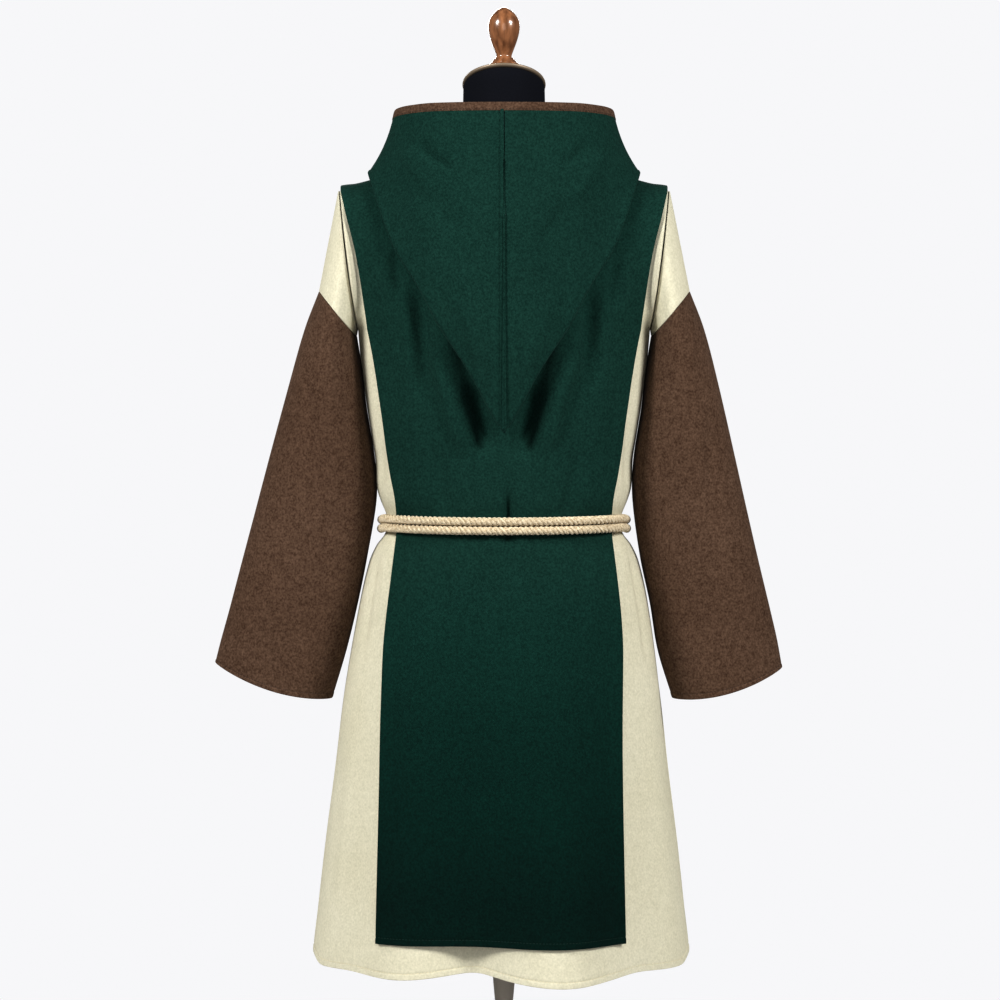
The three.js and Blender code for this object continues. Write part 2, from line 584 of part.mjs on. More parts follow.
function dressForm() {
  const top = FORM.length - 1;
  piece("form_body", loft(FORM.map((row, i) => formRing(row, i === top ? NECK_TILT : 0))), "jersey");
  const plateRing = (lift, grow) => {
    const z = FORM[top].z + PLATE.gap + lift;
    const reach = PLATE.radius + grow;
    return formRing({ z, half: reach, back: reach, front: reach, square: 2 }, NECK_TILT);
  };
  const plate = [[0, 0], [1.5, 1.2], [PLATE.thick - 2, 1.2], [PLATE.thick - 0.5, 0], [PLATE.thick, -3]];
  piece("form_neck_plate", loft(plate.map(([lift, grow]) => plateRing(lift, grow))), "bronze");
  // The finial stands upright on the tilted plate, on the high edge of its foot
  const seat = FORM[top].z + PLATE.gap + PLATE.thick + NECK_TILT * FINIAL_FOOT + SEAM;
  const finial = [
    [0, 0], [FINIAL_FOOT, 0], [22.5, 4], [23, 14], [22, 18], [16, 25.5], [10.8, 29], [11.6, 33],
    [14.2, 40], [17, 47], [19.4, 54], [21.4, 61], [22.2, 68.5], [22, 76], [19.9, 82.5], [15.6, 89.5],
    [8.5, 96.5], [0, 98.6],
  ];
  const finialGeometry = turned(finial, 20);
  finialGeometry.translate(0, 0, seat);
  piece("form_finial", finialGeometry, "wood");
  const { top: poleTop, foot, wide, thin, taperTop, taperEnd } = POLE;
  const pole = [[0, foot], [thin, foot], [thin, taperEnd], [wide, taperTop], [wide, poleTop], [0, poleTop]];
  piece("form_pole", turned(pole, 16), "stand");
  const { radius, rim, height } = BASE;
  const base = [[0, 0], [radius, 0], [radius, rim - 2], [radius - 3, rim], [40, height], [0, height]];
  piece("form_base", turned(base, 36), "stand");
}

// The belt's line round the waist at one height, from the front's middle round the back to the front
function beltPath(z) {
  const spread = steps(24, PI / 2, -PI / 2).map((t) => sin(t));
  const back = spread.slice(0, -1).map((s) => ({ s, way: 1 }));
  const front = spread.slice(0, -1).map((s) => ({ s: -s, way: -1 }));
  const ring = [...back, ...front].map(({ s, way }) => ({ s, p: skirtPoint(s, z, way) }));
  const count = ring.length;
  const reach = reachAt((z - HEM_Z) / (UNDERARM_Z - HEM_Z));
  const layers = (s) => (AIR + GREEN_CLOTH) * soften(clamp((reach + 0.1 - abs(s)) / 0.08, 0, 1));
  const path = ring.map(({ s, p }, i) => {
    const along = minus(ring[(i + 1) % count].p, ring[(i + count - 1) % count].p);
    const out = unit([-along[1], along[0], 0]);
    const q = add(p, out, sign(dot(out, p)) * (ROPE / 2 + BELT_AIR + layers(s)));
    return new THREE.Vector3(q[0], q[1], z);
  });
  const middle = path.findIndex((p) => abs(p.x) < 1 && p.y < 0);
  const open = [...path.slice(middle), ...path.slice(0, middle + 1)];
  const start = TURN_END;
  const way = sign(open[1].x);
  return [
    open[0].clone().setX(way * start),
    ...open.filter((p) => p.y > 0 || abs(p.x) > start + 4),
    open[0].clone().setX(-way * start),
  ];
}

function rope(name, points, segments) {
  const shape = new THREE.Shape(
    steps(ROPE_SIDES - 1, 0, (2 * PI * (ROPE_SIDES - 1)) / ROPE_SIDES).map(
      (turn) => new THREE.Vector2((ROPE / 2) * cos(turn), (ROPE / 2) * sin(turn)),
    ),
  );
  const extrudePath = new THREE.CatmullRomCurve3(points);
  const options = { steps: segments, bevelEnabled: false, extrudePath };
  piece(name, new THREE.ExtrudeGeometry(shape, options), "rope");
}

function belt() {
  const upper = beltPath(BELT_Z + ROPE / 2 + SEAM);
  rope("belt_turn_upper", upper, 50);
  rope("belt_turn_lower", beltPath(BELT_Z - ROPE / 2 - SEAM), 50);
  const knotY = upper[0].y - KNOT.y - ROPE / 2 + KNOT_NEST;
  const knot = new THREE.SphereGeometry(1, 14, 8).scale(KNOT.x, KNOT.y, KNOT.z).translate(0, knotY, BELT_Z);
  piece("belt_knot", knot, "rope");
  const lift = AIR + GREEN_CLOTH + ROPE / 2 + TAIL_AIR;
  TAILS.forEach(({ name, x, sway, drop }) => {
    const startZ = BELT_Z - KNOT.z - SEAM;
    const points = steps(8).map((t) => {
      const z = startZ - drop * t;
      const px = x + sway * soften(t);
      const y = skirtPoint(px / readRow(TUNIC, "z", z).half, z, -1, BRIDGED)[1] - lift;
      return new THREE.Vector3(px, min(y, mix(knotY, y, min(1, 5 * t))), z);
    });
    rope("belt_tail_" + name, points, 13);
    const end = points[points.length - 1];
    const ball = new THREE.SphereGeometry(TAIL_END_KNOT, 10, 7).rotateX(PI / 2);
    ball.translate(end.x, end.y - TAIL_END_FORWARD, end.z - TAIL_END_KNOT - SEAM);
    piece("belt_tail_" + name + "_end", ball, "rope");
  });
}

dressForm();
panels(1, "back");
panels(-1, "front");
sleeves();
hood();
belt();

export default root;
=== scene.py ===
# A hooded wool habit on a limbless dress form: cream tunic, brown sleeves, green scapular and hood,
# twisted rope belt. The shapes are worked out in millimetres from the same sizes as the solids, and
# built in metres: +Z up, +Y towards the back, +X towards the wearer's left.
import math

import bpy
import numpy as np
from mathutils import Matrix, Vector


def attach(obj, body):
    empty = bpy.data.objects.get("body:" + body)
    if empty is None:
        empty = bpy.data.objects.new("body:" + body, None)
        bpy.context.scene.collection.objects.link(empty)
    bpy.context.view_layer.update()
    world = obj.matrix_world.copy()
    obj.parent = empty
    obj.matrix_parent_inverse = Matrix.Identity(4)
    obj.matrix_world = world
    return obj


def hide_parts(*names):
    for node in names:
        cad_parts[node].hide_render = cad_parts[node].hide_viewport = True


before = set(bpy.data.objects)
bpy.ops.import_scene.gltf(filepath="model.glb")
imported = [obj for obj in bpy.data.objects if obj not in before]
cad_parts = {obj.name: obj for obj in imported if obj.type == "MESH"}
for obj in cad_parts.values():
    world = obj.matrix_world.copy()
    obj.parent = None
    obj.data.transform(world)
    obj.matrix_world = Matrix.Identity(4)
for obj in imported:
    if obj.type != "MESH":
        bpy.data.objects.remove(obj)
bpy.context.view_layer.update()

# Cloth and layers
CLOTH = 2.2
GREEN_CLOTH = 2.4
AIR = 0.8  # between two layers
SEAM = 0.3  # between two pieces that meet
HOOD_REST = 2 * AIR + GREEN_CLOTH  # how far over the tunic the hood's lowest layer lies
HOOD_LOFT = 3.5  # how much higher its fold stands
POINT_LOFT = 10  # and how much more at its point
HOOD_SWELL = 4  # how much the layer under it bulges
HOOD_CHEST = 1.5  # and how much more on the chest
HOOD_PLY = 10  # from the upper layer to the lower one at the fold
FOLD_DIRECT = 5  # the last row of the hood whose fold is placed by its own x and z
NECK_OVER_BACK = 0.09
NECK_OVER_FRONT = 0.33

# Heights and half widths
HEM_Z, UNDERARM_Z, SHOULDER_Z, NECK_Z = 352, 1245, 1442, 1481
BELT_Z = 969
UNDERARM_X, SHOULDER_X, NECK_X = 207, 232, 81.4
NECK_ACROSS = NECK_X / SHOULDER_X
SCAPULAR_REACH = 0.985
SCAPULAR_HEM_RISE = 0.05
BRIDGED = 0.2  # share of the skirt's hollows that the scapular follows

# Hems and stitching
STITCH_IN = 7.5
STITCH_LENGTH = 3.4
STITCH_STEP = 4.6
STITCH_RADIUS = 0.38

# Rope
ROPE = 12
ROPE_LAY = 21
BELT_AIR = 1.2

# Stand
NECK_TILT = 0.4
PLATE_THICK = 6
PLATE_RADIUS = 57.5
FINIAL_FOOT = 19


def table(columns, *rows):
    """A table with named columns, as a dict of arrays."""
    return {name: np.array([row[i] for row in rows], float) for i, name in enumerate(columns.split())}


TUNIC = table(
    "z half back front square",
    (352, 268, 186, 190, 2.15),
    (406, 263, 182, 186, 2.15),
    (520, 250, 173, 178, 2.15),
    (634, 235, 163, 169, 2.2),
    (747, 222, 152, 158, 2.2),
    (861, 204, 140, 146, 2.3),
    (917, 191, 131, 137, 2.3),
    (940, 180.5, 125, 129, 2.35),
    (955, 169, 121, 125, 2.4),
    (969, 166.5, 120.5, 124.5, 2.4),
    (984, 167.5, 121, 125, 2.45),
    (1002, 175, 122, 127, 2.5),
    (1022, 180.8, 121.5, 127.5, 2.55),
    (1062, 183, 121, 128, 2.6),
    (1088, 187, 121, 128, 2.6),
    (1134, 194.4, 121, 127.5, 2.58),
    (1172, 199.3, 121, 127, 2.55),
    (1208, 203.9, 120, 126, 2.5),
    (1245, 207, 119, 124, 2.45),
)
SKIRT_FOLDS = table(
    "angle out spread top",
    (113, 34, 19, 900),
    (77, -24, 13, 800),
    (50, 12, 12, 860),
    (28, -4, 8, 760),
    (146, -7, 9, 820),
    (208, -9, 9, 790),
    (233, 20, 14, 880),
    (262, -20, 14, 810),
    (294, 26, 16, 900),
    (326, -10, 9, 780),
)
SCAPULAR = table(
    "rise half",
    (0.05, 163.5),
    (0.25, 163.5),
    (0.49, 163),
    (0.55, 159.5),
    (0.61, 153.5),
    (0.67, 147),
    (0.69, 145.5),
    (0.733, 148),
    (0.771, 154.5),
    (0.81, 160),
    (0.849, 164.5),
    (0.888, 169.5),
    (0.926, 174.5),
    (0.965, 180.5),
    (0.99, 185),
    (1, 186.8),
    (1.02, 187.2),
    (1.1, 189.6),
    (1.25, 195.7),
    (1.42, 204.8),
    (1.55, 213),
    (1.69, 221),
    (2, 232),
)
SLEEVE = table(
    "row outX outZ inX inZ depth",
    (0, 262, 1299, 208.8, 1236, 82),
    (1, 283, 1243, 201.5, 1190, 81),
    (2, 306, 1161, 195, 1134, 78),
    (3, 332, 1066, 183.5, 1062, 73),
    (4, 353, 987, 181, 1006, 68),
    (5, 372, 916, 194, 925, 62),
    (6, 390, 848, 208, 856, 56),
    (7, 402, 805, 224, 790, 51),
    (8, 410, 774, 244, 723, 47),
)
SLEEVE_RIGHT = {
    **SLEEVE,
    "outX": np.array([263, 284, 305, 327, 345, 361.5, 378, 388, 395]),
    "outZ": np.array([*SLEEVE["outZ"][:-1], 767]),
    "inX": np.array([208.8, 201.5, 195, 184, 182.5, 193, 207.5, 218.5, 239]),
}
CUFF_BOW = 13
HOOD = table(
    "round way foldX foldZ edgeX edgeY edgeZ neck puff",
    (0, 1, 0, 1100, 0, 112, 1557, 0, 20),
    (1, 1, 18, 1124, 26, 111, 1557, 0.07, 20),
    (2, 1, 50, 1184, 52, 108, 1557, 0.14, 18),
    (3, 1, 85, 1241, 79, 102, 1557, 0.21, 15),
    (4, 1, 117, 1300, 105, 91, 1557, 0.28, 9),
    (5, 1, 150, 1352, 128, 74, 1556, 0.35, 3),
    (6, 1, 174, 1408, 145, 50, 1555, 0.41, -3),
    (7, 1, 188, 1448, 154, 18, 1553, 0.46, -6),
    (8, -1, 186, 1441, 153, -16, 1545, 0.47, -6),
    (9, -1, 170, 1403, 139, -54, 1524, 0.43, -1),
    (10, -1, 128, 1364, 108, -88, 1492, 0.33, 5),
    (11, -1, 66, 1336, 58, -112, 1458, 0.17, 12),
    (12, -1, 0, 1326, 0, -119, 1442, 0, 12),
)
BAND_WIDTH = 13
BAND_OVERLAP = 3  # how far the binding reaches over the hood's cloth
BAND_THICK = 4.4
FORM = table(
    "z half back front square",
    (792, 160, 104, 104, 2.2),
    (800, 172, 114, 114, 2.2),
    (861, 180, 120, 122, 2.2),
    (917, 168, 109, 116, 2.2),
    (975, 153, 98, 109, 2.2),
    (1088, 164, 96, 112, 2.2),
    (1172, 176, 98, 115, 2.2),
    (1245, 186, 100, 112, 2.3),
    (1310, 192, 99, 105, 2.3),
    (1370, 194, 90, 90, 2.2),
    (1410, 190, 72, 70, 1.8),
    (1436, 176, 62, 60, 1.5),
    (1453, 146, 54, 52, 1.3),
    (1466, 115, 52, 49, 1.2),
    (1474, 87, 48, 43, 1.2),
    (1479, 70, 51, 49, 1.5),
    (1486, 64, 55, 54, 1.8),
    (1500, 60, 57.5, 57.5, 2),
    (1587.5, 57.5, 57.5, 57.5, 2),
)


def mix(a, b, t):
    return a + (b - a) * t


def soften(t):
    t = np.clip(t, 0, 1)
    return t * t * (3 - 2 * t)


def bell(t):
    return np.exp(-(t**2))


def points(x, y, z):
    return np.stack(np.broadcast_arrays(x, y, z), axis=-1).astype(float)


def unit(v):
    return v / np.maximum(np.linalg.norm(v, axis=-1, keepdims=True), 1e-9)


def signed_power(v, power):
    return np.sign(v) * np.abs(v) ** power


def turns_round(sides):
    return np.linspace(0, 2 * math.pi, sides, endpoint=False)


def read(rows, key, name, value):
    """A column of a table read at any value of another, on a smooth curve through its rows."""
    keys = rows[key]
    last = len(keys) - 1
    v = np.clip(value, keys[0], keys[last])
    i = np.clip(np.searchsorted(keys, v, side="right") - 1, 0, last - 1)
    before = np.maximum(i - 1, 0)
    after = np.minimum(i + 2, last)
    column = rows[name]
    span = keys[i + 1] - keys[i]
    t = (v - keys[i]) / span
    slope_low = (column[i + 1] - column[before]) / (keys[i + 1] - keys[before]) * span
    slope_high = (column[after] - column[i]) / (keys[after] - keys[i]) * span
    low = (2 * t**3 - 3 * t**2 + 1) * column[i] + (t**3 - 2 * t**2 + t) * slope_low
    return low + (3 * t**2 - 2 * t**3) * column[i + 1] + (t**3 - t**2) * slope_high


def bezier(a, b, c, d, t):
    u = 1 - t
    return u**3 * a + 3 * u * u * t * b + 3 * u * t * t * c + t**3 * d


# The tunic's outer face, and what lies on it

SKIRT_SHIFT = 4  # how far the skirt hangs to the left
HEM_CORNER_UP, HEM_CORNER_SPREAD, HEM_CORNER_HEIGHT = 12, 0.03, 70  # the hem's rise at the side seams
NECK_BACK_Y, NECK_FRONT_Y = 71, -76
NECK_BACK_DIP, NECK_FRONT_DIP = 2, -34  # how far the neckline's middle lies above the shoulder seams
CHEST_LIFT, CHEST_OUT, CHEST_OUT_SIDE = 70, 8, 92  # the lower handle of the yoke's curve
SHOULDER_OUT, SHOULDER_OUT_SIDE, NECK_FALL = 48, 52, -42  # its upper handle


def skirt_fold(angle, z, hollow):
    push = 0
    for turn, out, spread, top in zip(*(SKIRT_FOLDS[name] for name in ("angle", "out", "spread", "top"))):
        away = np.abs((angle - turn + 540) % 360 - 180)
        share = hollow if out < 0 else 1
        push = push + out * share * soften((top - z) / (top - HEM_Z)) * bell(away / spread)
    return push


def skirt_point(across, z, way, hollow=1):
    """A point below the underarm. across is 1 at the left side seam, way is 1 on the back."""
    x = read(TUNIC, "z", "half", z) * across
    depth = np.where(way > 0, read(TUNIC, "z", "back", z), read(TUNIC, "z", "front", z))
    square = read(TUNIC, "z", "square", z)
    y = way * depth * np.maximum(0, 1 - np.abs(across) ** square) ** (1 / square)
    angle = np.arctan2(y, x)
    push = skirt_fold(np.degrees(angle) + 360, z, hollow)
    sag = 0 if hollow < 1 else 0.25 * push * soften((UNDERARM_Z - z) / (UNDERARM_Z - HEM_Z))
    shift = SKIRT_SHIFT * soften((900 - z) / 250)
    low = soften((HEM_Z + HEM_CORNER_HEIGHT - z) / HEM_CORNER_HEIGHT)
    corner = HEM_CORNER_UP * low * bell((1 - np.abs(across)) / HEM_CORNER_SPREAD)
    return points(x + push * np.cos(angle) + shift, y + push * np.sin(angle), z - sag + corner)


def yoke_top(across, way):
    """The yoke's upper edge: the neckline in the middle and a shoulder seam on either side."""
    side = np.abs(across)
    slope = (side - NECK_ACROSS) / (1 - NECK_ACROSS)
    dip = np.sqrt(np.maximum(0, 1 - (side / NECK_ACROSS) ** 2))
    neck_y = np.where(way > 0, NECK_BACK_Y, NECK_FRONT_Y) * dip
    neck_z = NECK_Z + np.where(way > 0, NECK_BACK_DIP, NECK_FRONT_DIP) * dip
    shoulder = side >= NECK_ACROSS
    z = np.where(shoulder, mix(NECK_Z, SHOULDER_Z, slope), neck_z)
    return points(SHOULDER_X * across, np.where(shoulder, 0, neck_y), z)


def tunic_point(across, rise, way, hollow=1):
    """rise is 0 at the tunic's hem, 1 at the underarm and 2 at the shoulder and neckline."""
    across, rise, way = np.broadcast_arrays(across, rise, way)
    skirt = skirt_point(across, mix(HEM_Z, UNDERARM_Z, np.minimum(rise, 1)), way, hollow)
    low = skirt_point(across, np.full(across.shape, float(UNDERARM_Z)), way)
    top = yoke_top(across, way)
    side = np.abs(across)
    neck = soften(1 - side / NECK_ACROSS)
    lift = CHEST_LIFT * (1 - side**24)
    out = CHEST_OUT + CHEST_OUT_SIDE * side**30
    top_out = (SHOULDER_OUT + SHOULDER_OUT_SIDE * side**2) * (1 - 0.55 * neck)
    a = low + points(0, way * out, lift)
    b = top + points(0, way * top_out, NECK_FALL * neck)
    yoke = bezier(low, a, b, top, np.clip(rise - 1, 0, 1)[..., None])
    return np.where((rise <= 1)[..., None], skirt, yoke)


def tunic_normal(across, rise, way):
    step = 0.02
    left = np.minimum(across + step, 1)
    high = np.minimum(rise + step, 2)
    along_x = tunic_point(left, rise, way) - tunic_point(left - 2 * step, rise, way)
    along_z = tunic_point(across, high, way) - tunic_point(across, high - 2 * step, way)
    normal = unit(np.cross(along_x, along_z))
    p = tunic_point(across, rise, way)
    outward = p[..., 0] * normal[..., 0] + p[..., 1] * normal[..., 1]
    return normal * np.where(outward < 0, -1, 1)[..., None]


def lifted_point(across, rise, way, out):
    """A point over the tunic's outer face, out millimetres off it."""
    return tunic_point(across, rise, way) + tunic_normal(across, rise, way) * np.asarray(out)[..., None]


def half_width(rise):
    below = read(TUNIC, "z", "half", mix(HEM_Z, UNDERARM_Z, np.minimum(rise, 1)))
    return np.where(rise > 1, mix(UNDERARM_X, SHOULDER_X, soften(rise - 1)), below)


def scapular_reach(rise):
    return np.minimum(SCAPULAR_REACH, read(SCAPULAR, "rise", "half", rise) / half_width(rise))


CREASE_END = 0.3  # share of a crease over which it fades in or out
CREASE_STEEP = 0.62  # how wide its steep side is, as a share of the other


def creases(x, z, rows):
    """Soft troughs and ridges on a piece seen square on: two ends, bow, width and height in mm."""
    height = np.zeros(np.broadcast(x, z).shape)
    for x0, z0, x1, z1, bow, wide, high in rows:
        dx, dz = x1 - x0, z1 - z0
        length = math.hypot(dx, dz)
        t = ((x - x0) * dx + (z - z0) * dz) / length**2
        side = ((x - x0) * dz - (z - z0) * dx) / length - 4 * bow * t * (1 - t)
        fade = soften(t / CREASE_END) * soften((1 - t) / CREASE_END)
        height = height + high * fade * bell(side / np.where(side > 0, wide, CREASE_STEEP * wide))
    return height


# Meshes


def add_mesh(name, places, faces, material, uv=None):
    """A smooth mesh from points in millimetres and faces as rows of indices."""
    mesh = bpy.data.meshes.new(name)
    mesh.from_pydata((places / 1000).tolist(), [], [face for group in faces for face in group.tolist()])
    mesh.polygons.foreach_set("use_smooth", [True] * len(mesh.polygons))
    if uv is not None:
        corners = np.empty(len(mesh.loops), int)
        mesh.loops.foreach_get("vertex_index", corners)
        mesh.uv_layers.new(name="lay").data.foreach_set("uv", uv[corners].ravel())
    mesh.materials.append(material)
    mesh.update()
    obj = bpy.data.objects.new(name, mesh)
    bpy.context.scene.collection.objects.link(obj)
    return obj


def outward(places, quads):
    """The quads turned so that their closed surface faces out."""
    a, b, c, d = (places[quads[:, i]] for i in range(4))
    volume = np.sum(a * np.cross(b, c)) + np.sum(a * np.cross(c, d))
    return quads if volume > 0 else quads[:, ::-1]


def grid_normals(grid, around):
    if around:
        padded = np.concatenate([grid[:, -1:], grid, grid[:, :1]], axis=1)
        across = padded[:, 2:] - padded[:, :-2]
    else:
        across = np.gradient(grid, axis=1)
    normals = unit(np.cross(across, np.gradient(grid, axis=0)))
    middle = grid.reshape(-1, 3).mean(axis=0)
    return normals * np.sign(np.sum(normals * (grid - middle)))


RIM = np.radians([90, 55, 22])


def rim_axis(count, closed):
    """Indices and turning angles of a grid's lines, with the extra ones that round its two ends."""
    if closed:
        return np.arange(count), np.zeros(count), np.zeros(count)
    index = np.concatenate([[0] * len(RIM), np.arange(count), [count - 1] * len(RIM)]).astype(int)
    angle = np.concatenate([RIM, np.zeros(count), RIM[::-1]])
    way = np.concatenate([-np.ones(len(RIM)), np.zeros(count), np.ones(len(RIM))])
    return index, angle, way


def shell(name, outer, thick, material, around=False, seams=(), normals=None):
    """A cloth wall under a grid of points of its outer face, with rounded edges. Rows run along
    axis 0. seams names the sides, of top, bottom, start and end, that end exactly at the grid."""
    normals = grid_normals(outer, around) if normals is None else normals
    middle = outer - normals * thick / 2
    ends = {
        "bottom": (np.s_[0], unit(middle[0] - middle[1])),
        "top": (np.s_[-1], unit(middle[-1] - middle[-2])),
        "start": (np.s_[:, 0], unit(middle[:, 0] - middle[:, 1])),
        "end": (np.s_[:, -1], unit(middle[:, -1] - middle[:, -2])),
    }
    for side in seams:
        place, way = ends[side]
        middle[place] = middle[place] - way * thick / 2
    row, row_angle, row_way = rim_axis(outer.shape[0], False)
    col, col_angle, col_way = rim_axis(outer.shape[1], around)
    low, high = ends["bottom"][1][col], ends["top"][1][col]
    start, end = ends["start"][1][row], ends["end"][1][row]
    along = np.where(row_way[:, None, None] < 0, low[None], high[None]) * np.sin(row_angle)[:, None, None]
    aside = np.where(col_way[None, :, None] < 0, start[:, None], end[:, None]) * np.sin(col_angle)[:, None]
    rise = normals[row][:, col] * (np.cos(row_angle)[:, None] * np.cos(col_angle)[None])[..., None]
    base = middle[row][:, col] + (along + aside) * thick / 2
    front = base + rise * thick / 2
    back = base - rise * thick / 2
    return wall(name, front, back, around, material)


def wall(name, front, back, around, material):
    """One closed surface of a wall's front and back grids, which meet in their outer lines."""
    rows, cols = front.shape[:2]
    places = np.concatenate([front.reshape(-1, 3), back.reshape(-1, 3)])
    face = np.arange(rows * cols).reshape(rows, cols)
    behind = face + rows * cols
    behind[0], behind[-1] = face[0], face[-1]
    if not around:
        behind[:, 0], behind[:, -1] = face[:, 0], face[:, -1]
    quads = np.concatenate([grid_quads(face, around), grid_quads(behind, around)[:, ::-1]])
    used, quads = np.unique(quads, return_inverse=True)
    places = places[used]
    quads = outward(places, quads.reshape(-1, 4))
    return add_mesh(name, places, [quads], material)


def grid_quads(index, around=False):
    if around:
        index = np.concatenate([index, index[:, :1]], axis=1)
    a, b = index[:-1, :-1], index[:-1, 1:]
    c, d = index[1:, 1:], index[1:, :-1]
    return np.stack([a, b, c, d], axis=-1).reshape(-1, 4)


def lofted(name, rings, material, uv=None):
    """A solid through rings of points, closed by a fan at both ends."""
    rows, cols = rings.shape[:2]
    face = np.arange(rows * cols).reshape(rows, cols)
    places = np.concatenate([rings.reshape(-1, 3), [rings[0].mean(axis=0), rings[-1].mean(axis=0)]])
    fan = lambda ring, centre: np.stack([ring, np.roll(ring, -1), np.full(cols, centre)], axis=-1)
    caps = [fan(face[0], rows * cols)[:, ::-1], fan(face[-1], rows * cols + 1)]
    quads = grid_quads(face, True)
    turned_quads = outward(places, quads)
    if turned_quads is not quads:
        caps = [cap[:, ::-1] for cap in caps]
    return add_mesh(name, places, [turned_quads, *caps], material, uv)


def join(name, parts):
    """One object of several meshes."""
    bpy.ops.object.select_all(action="DESELECT")
    for part in parts:
        part.select_set(True)
    bpy.context.view_layer.objects.active = parts[0]
    bpy.ops.object.join()
    parts[0].name = name
    return parts[0]


def frames(path):
    """Directions along a path of points, and two more square to it that turn as little as they can."""
    along = unit(np.gradient(path, axis=0))
    first = np.cross(along[0], [0, 0, 1])
    if np.linalg.norm(first) < 0.1:
        first = np.cross(along[0], [1, 0, 0])
    side = np.empty_like(path)
    side[0] = first / np.linalg.norm(first)
    for i in range(1, len(path)):
        kept = side[i - 1] - along[i] * np.dot(side[i - 1], along[i])
        side[i] = kept / np.linalg.norm(kept)
    return along, side, np.cross(along, side)


def lengths(path):
    return np.concatenate([[0], np.cumsum(np.linalg.norm(np.diff(path, axis=0), axis=1))])


def looped(line):
    """The same line, with its start again as its end."""
    return np.concatenate([line, line[:1]])


def spaced(path, step):
    """The same path, with a point at each even step."""
    far = lengths(path)
    at = np.linspace(0, far[-1], max(int(far[-1] / step) + 1, 2))
    return np.stack([np.interp(at, far, path[:, k]) for k in range(3)], axis=-1)


def smooth_path(path, step, parts=24):
    """A smooth path through a few points, with a point at each even step."""
    padded = np.concatenate([2 * path[:1] - path[1:2], path, 2 * path[-1:] - path[-2:-1]])
    t = np.linspace(0, 1, parts, endpoint=False)[:, None]
    pieces = []
    for p0, p1, p2, p3 in zip(padded, padded[1:], padded[2:], padded[3:]):
        curve = 2 * p1 + (p2 - p0) * t + (2 * p0 - 5 * p1 + 4 * p2 - p3) * t**2
        pieces.append((curve + (3 * p1 - p0 - 3 * p2 + p3) * t**3) / 2)
    return spaced(np.concatenate([*pieces, path[-1:]]), step)


def tube_places(path, radius, sides):
    """Rings of points round a path."""
    _, side, up = frames(path)
    turn = turns_round(sides)
    ring = side[:, None] * np.cos(turn)[:, None] + up[:, None] * np.sin(turn)[:, None]
    return path[:, None] + ring * radius


def lay_uv(path, sides):
    """Lengths along a tube in metres and shares round it, for its rings and then its two centres."""
    far = lengths(path)
    turn = np.arange(sides) / sides
    uv = np.stack(np.broadcast_arrays(far[:, None] / 1000, turn[None]), axis=-1).reshape(-1, 2)
    return np.concatenate([uv, uv[:1], uv[-1:]])


STRANDS = 3
STRAND_SIDES = 8
STRAND_OUT, STRAND_RADIUS = 0.272, 0.232  # shares of the rope's diameter


def rope(name, path, diameter=ROPE, turn=0.0):
    """A rope of three twisted strands along a path."""
    line = smooth_path(path, 1.9)
    _, side, up = frames(line)
    far = lengths(line)
    made = []
    for k in range(STRANDS):
        angle = turn + 2 * math.pi * (k / STRANDS + far / ROPE_LAY)
        out = side * np.cos(angle)[:, None] + up * np.sin(angle)[:, None]
        strand = line + diameter * STRAND_OUT * out
        rings = tube_places(strand, diameter * STRAND_RADIUS, STRAND_SIDES)
        made.append(lofted(f"{name}_{k}", rings, ROPE_LOOK, lay_uv(strand, STRAND_SIDES)))
    return join(name, made)


def stitches(name, line, normals, material):
    """Threads of a running stitch along a line on a cloth's face, each dipping in at its two ends."""
    far = lengths(line)
    starts = np.arange(STITCH_STEP, far[-1] - STITCH_LENGTH, STITCH_STEP)
    sides, rings = 5, 5
    at = starts[:, None] + np.linspace(0, STITCH_LENGTH, rings)[None]
    arch = (0.55 * np.sin(np.linspace(0, math.pi, rings)) - 0.35) * STITCH_RADIUS
    place = np.stack([np.interp(at, far, line[:, k]) for k in range(3)], axis=-1)
    normal = unit(np.stack([np.interp(at, far, normals[:, k]) for k in range(3)], axis=-1))
    place = place + normal * arch[None, :, None]
    along = unit(np.gradient(place, axis=1))
    aside = unit(np.cross(along, normal))
    turn = turns_round(sides)
    ring = aside[:, :, None] * np.cos(turn)[:, None] + normal[:, :, None] * np.sin(turn)[:, None]
    size = STITCH_RADIUS * np.array([0.35, 0.9, 1, 0.9, 0.35])[None, :, None, None]
    places = place[:, :, None] + ring * size
    one = grid_quads(np.arange(sides * rings).reshape(rings, sides), True)
    quads = one[None] + (np.arange(len(starts)) * sides * rings)[:, None, None]
    return add_mesh(name, places.reshape(-1, 3), [quads.reshape(-1, 4)], material)


# Camera, light and floor

CAMERA_X, CAMERA_Y, CAMERA_Z = 0.0057, 4.6, 1.139
AIM_Z = 1.003
LENS = 116.6
LIGHTS = (
    ("key", (2.6, 2.05, 2.9), 1.3, 155),
    ("fill", (-2.6, 2.05, 2.8), 1.3, 140),
    ("middle", (0.2, 4.4, 1.7), 2.2, 25),
    ("front", (0.3, -4.0, 2.6), 1.8, 110),
)
LIT_POINT = (0, 0, 1)
FLOOR_RADIUS, FLOOR_LEVELS = 1450, (-6, -0.2)


def tree(owner):
    return owner.node_tree.nodes, owner.node_tree.links


def aimed(obj, at):
    obj.rotation_euler = (Vector(at) - obj.location).to_track_quat("-Z", "Y").to_euler()


def place_camera():
    camera = bpy.data.objects.new("camera", bpy.data.cameras.new("camera"))
    bpy.context.scene.collection.objects.link(camera)
    camera.data.lens = LENS
    camera.data.sensor_width = 36
    camera.location = (CAMERA_X, CAMERA_Y, CAMERA_Z)
    aimed(camera, (CAMERA_X, 0, AIM_Z))
    bpy.context.scene.camera = camera
    bpy.context.scene.view_settings.view_transform = "Standard"
    bpy.context.scene.view_settings.gamma = 0.8


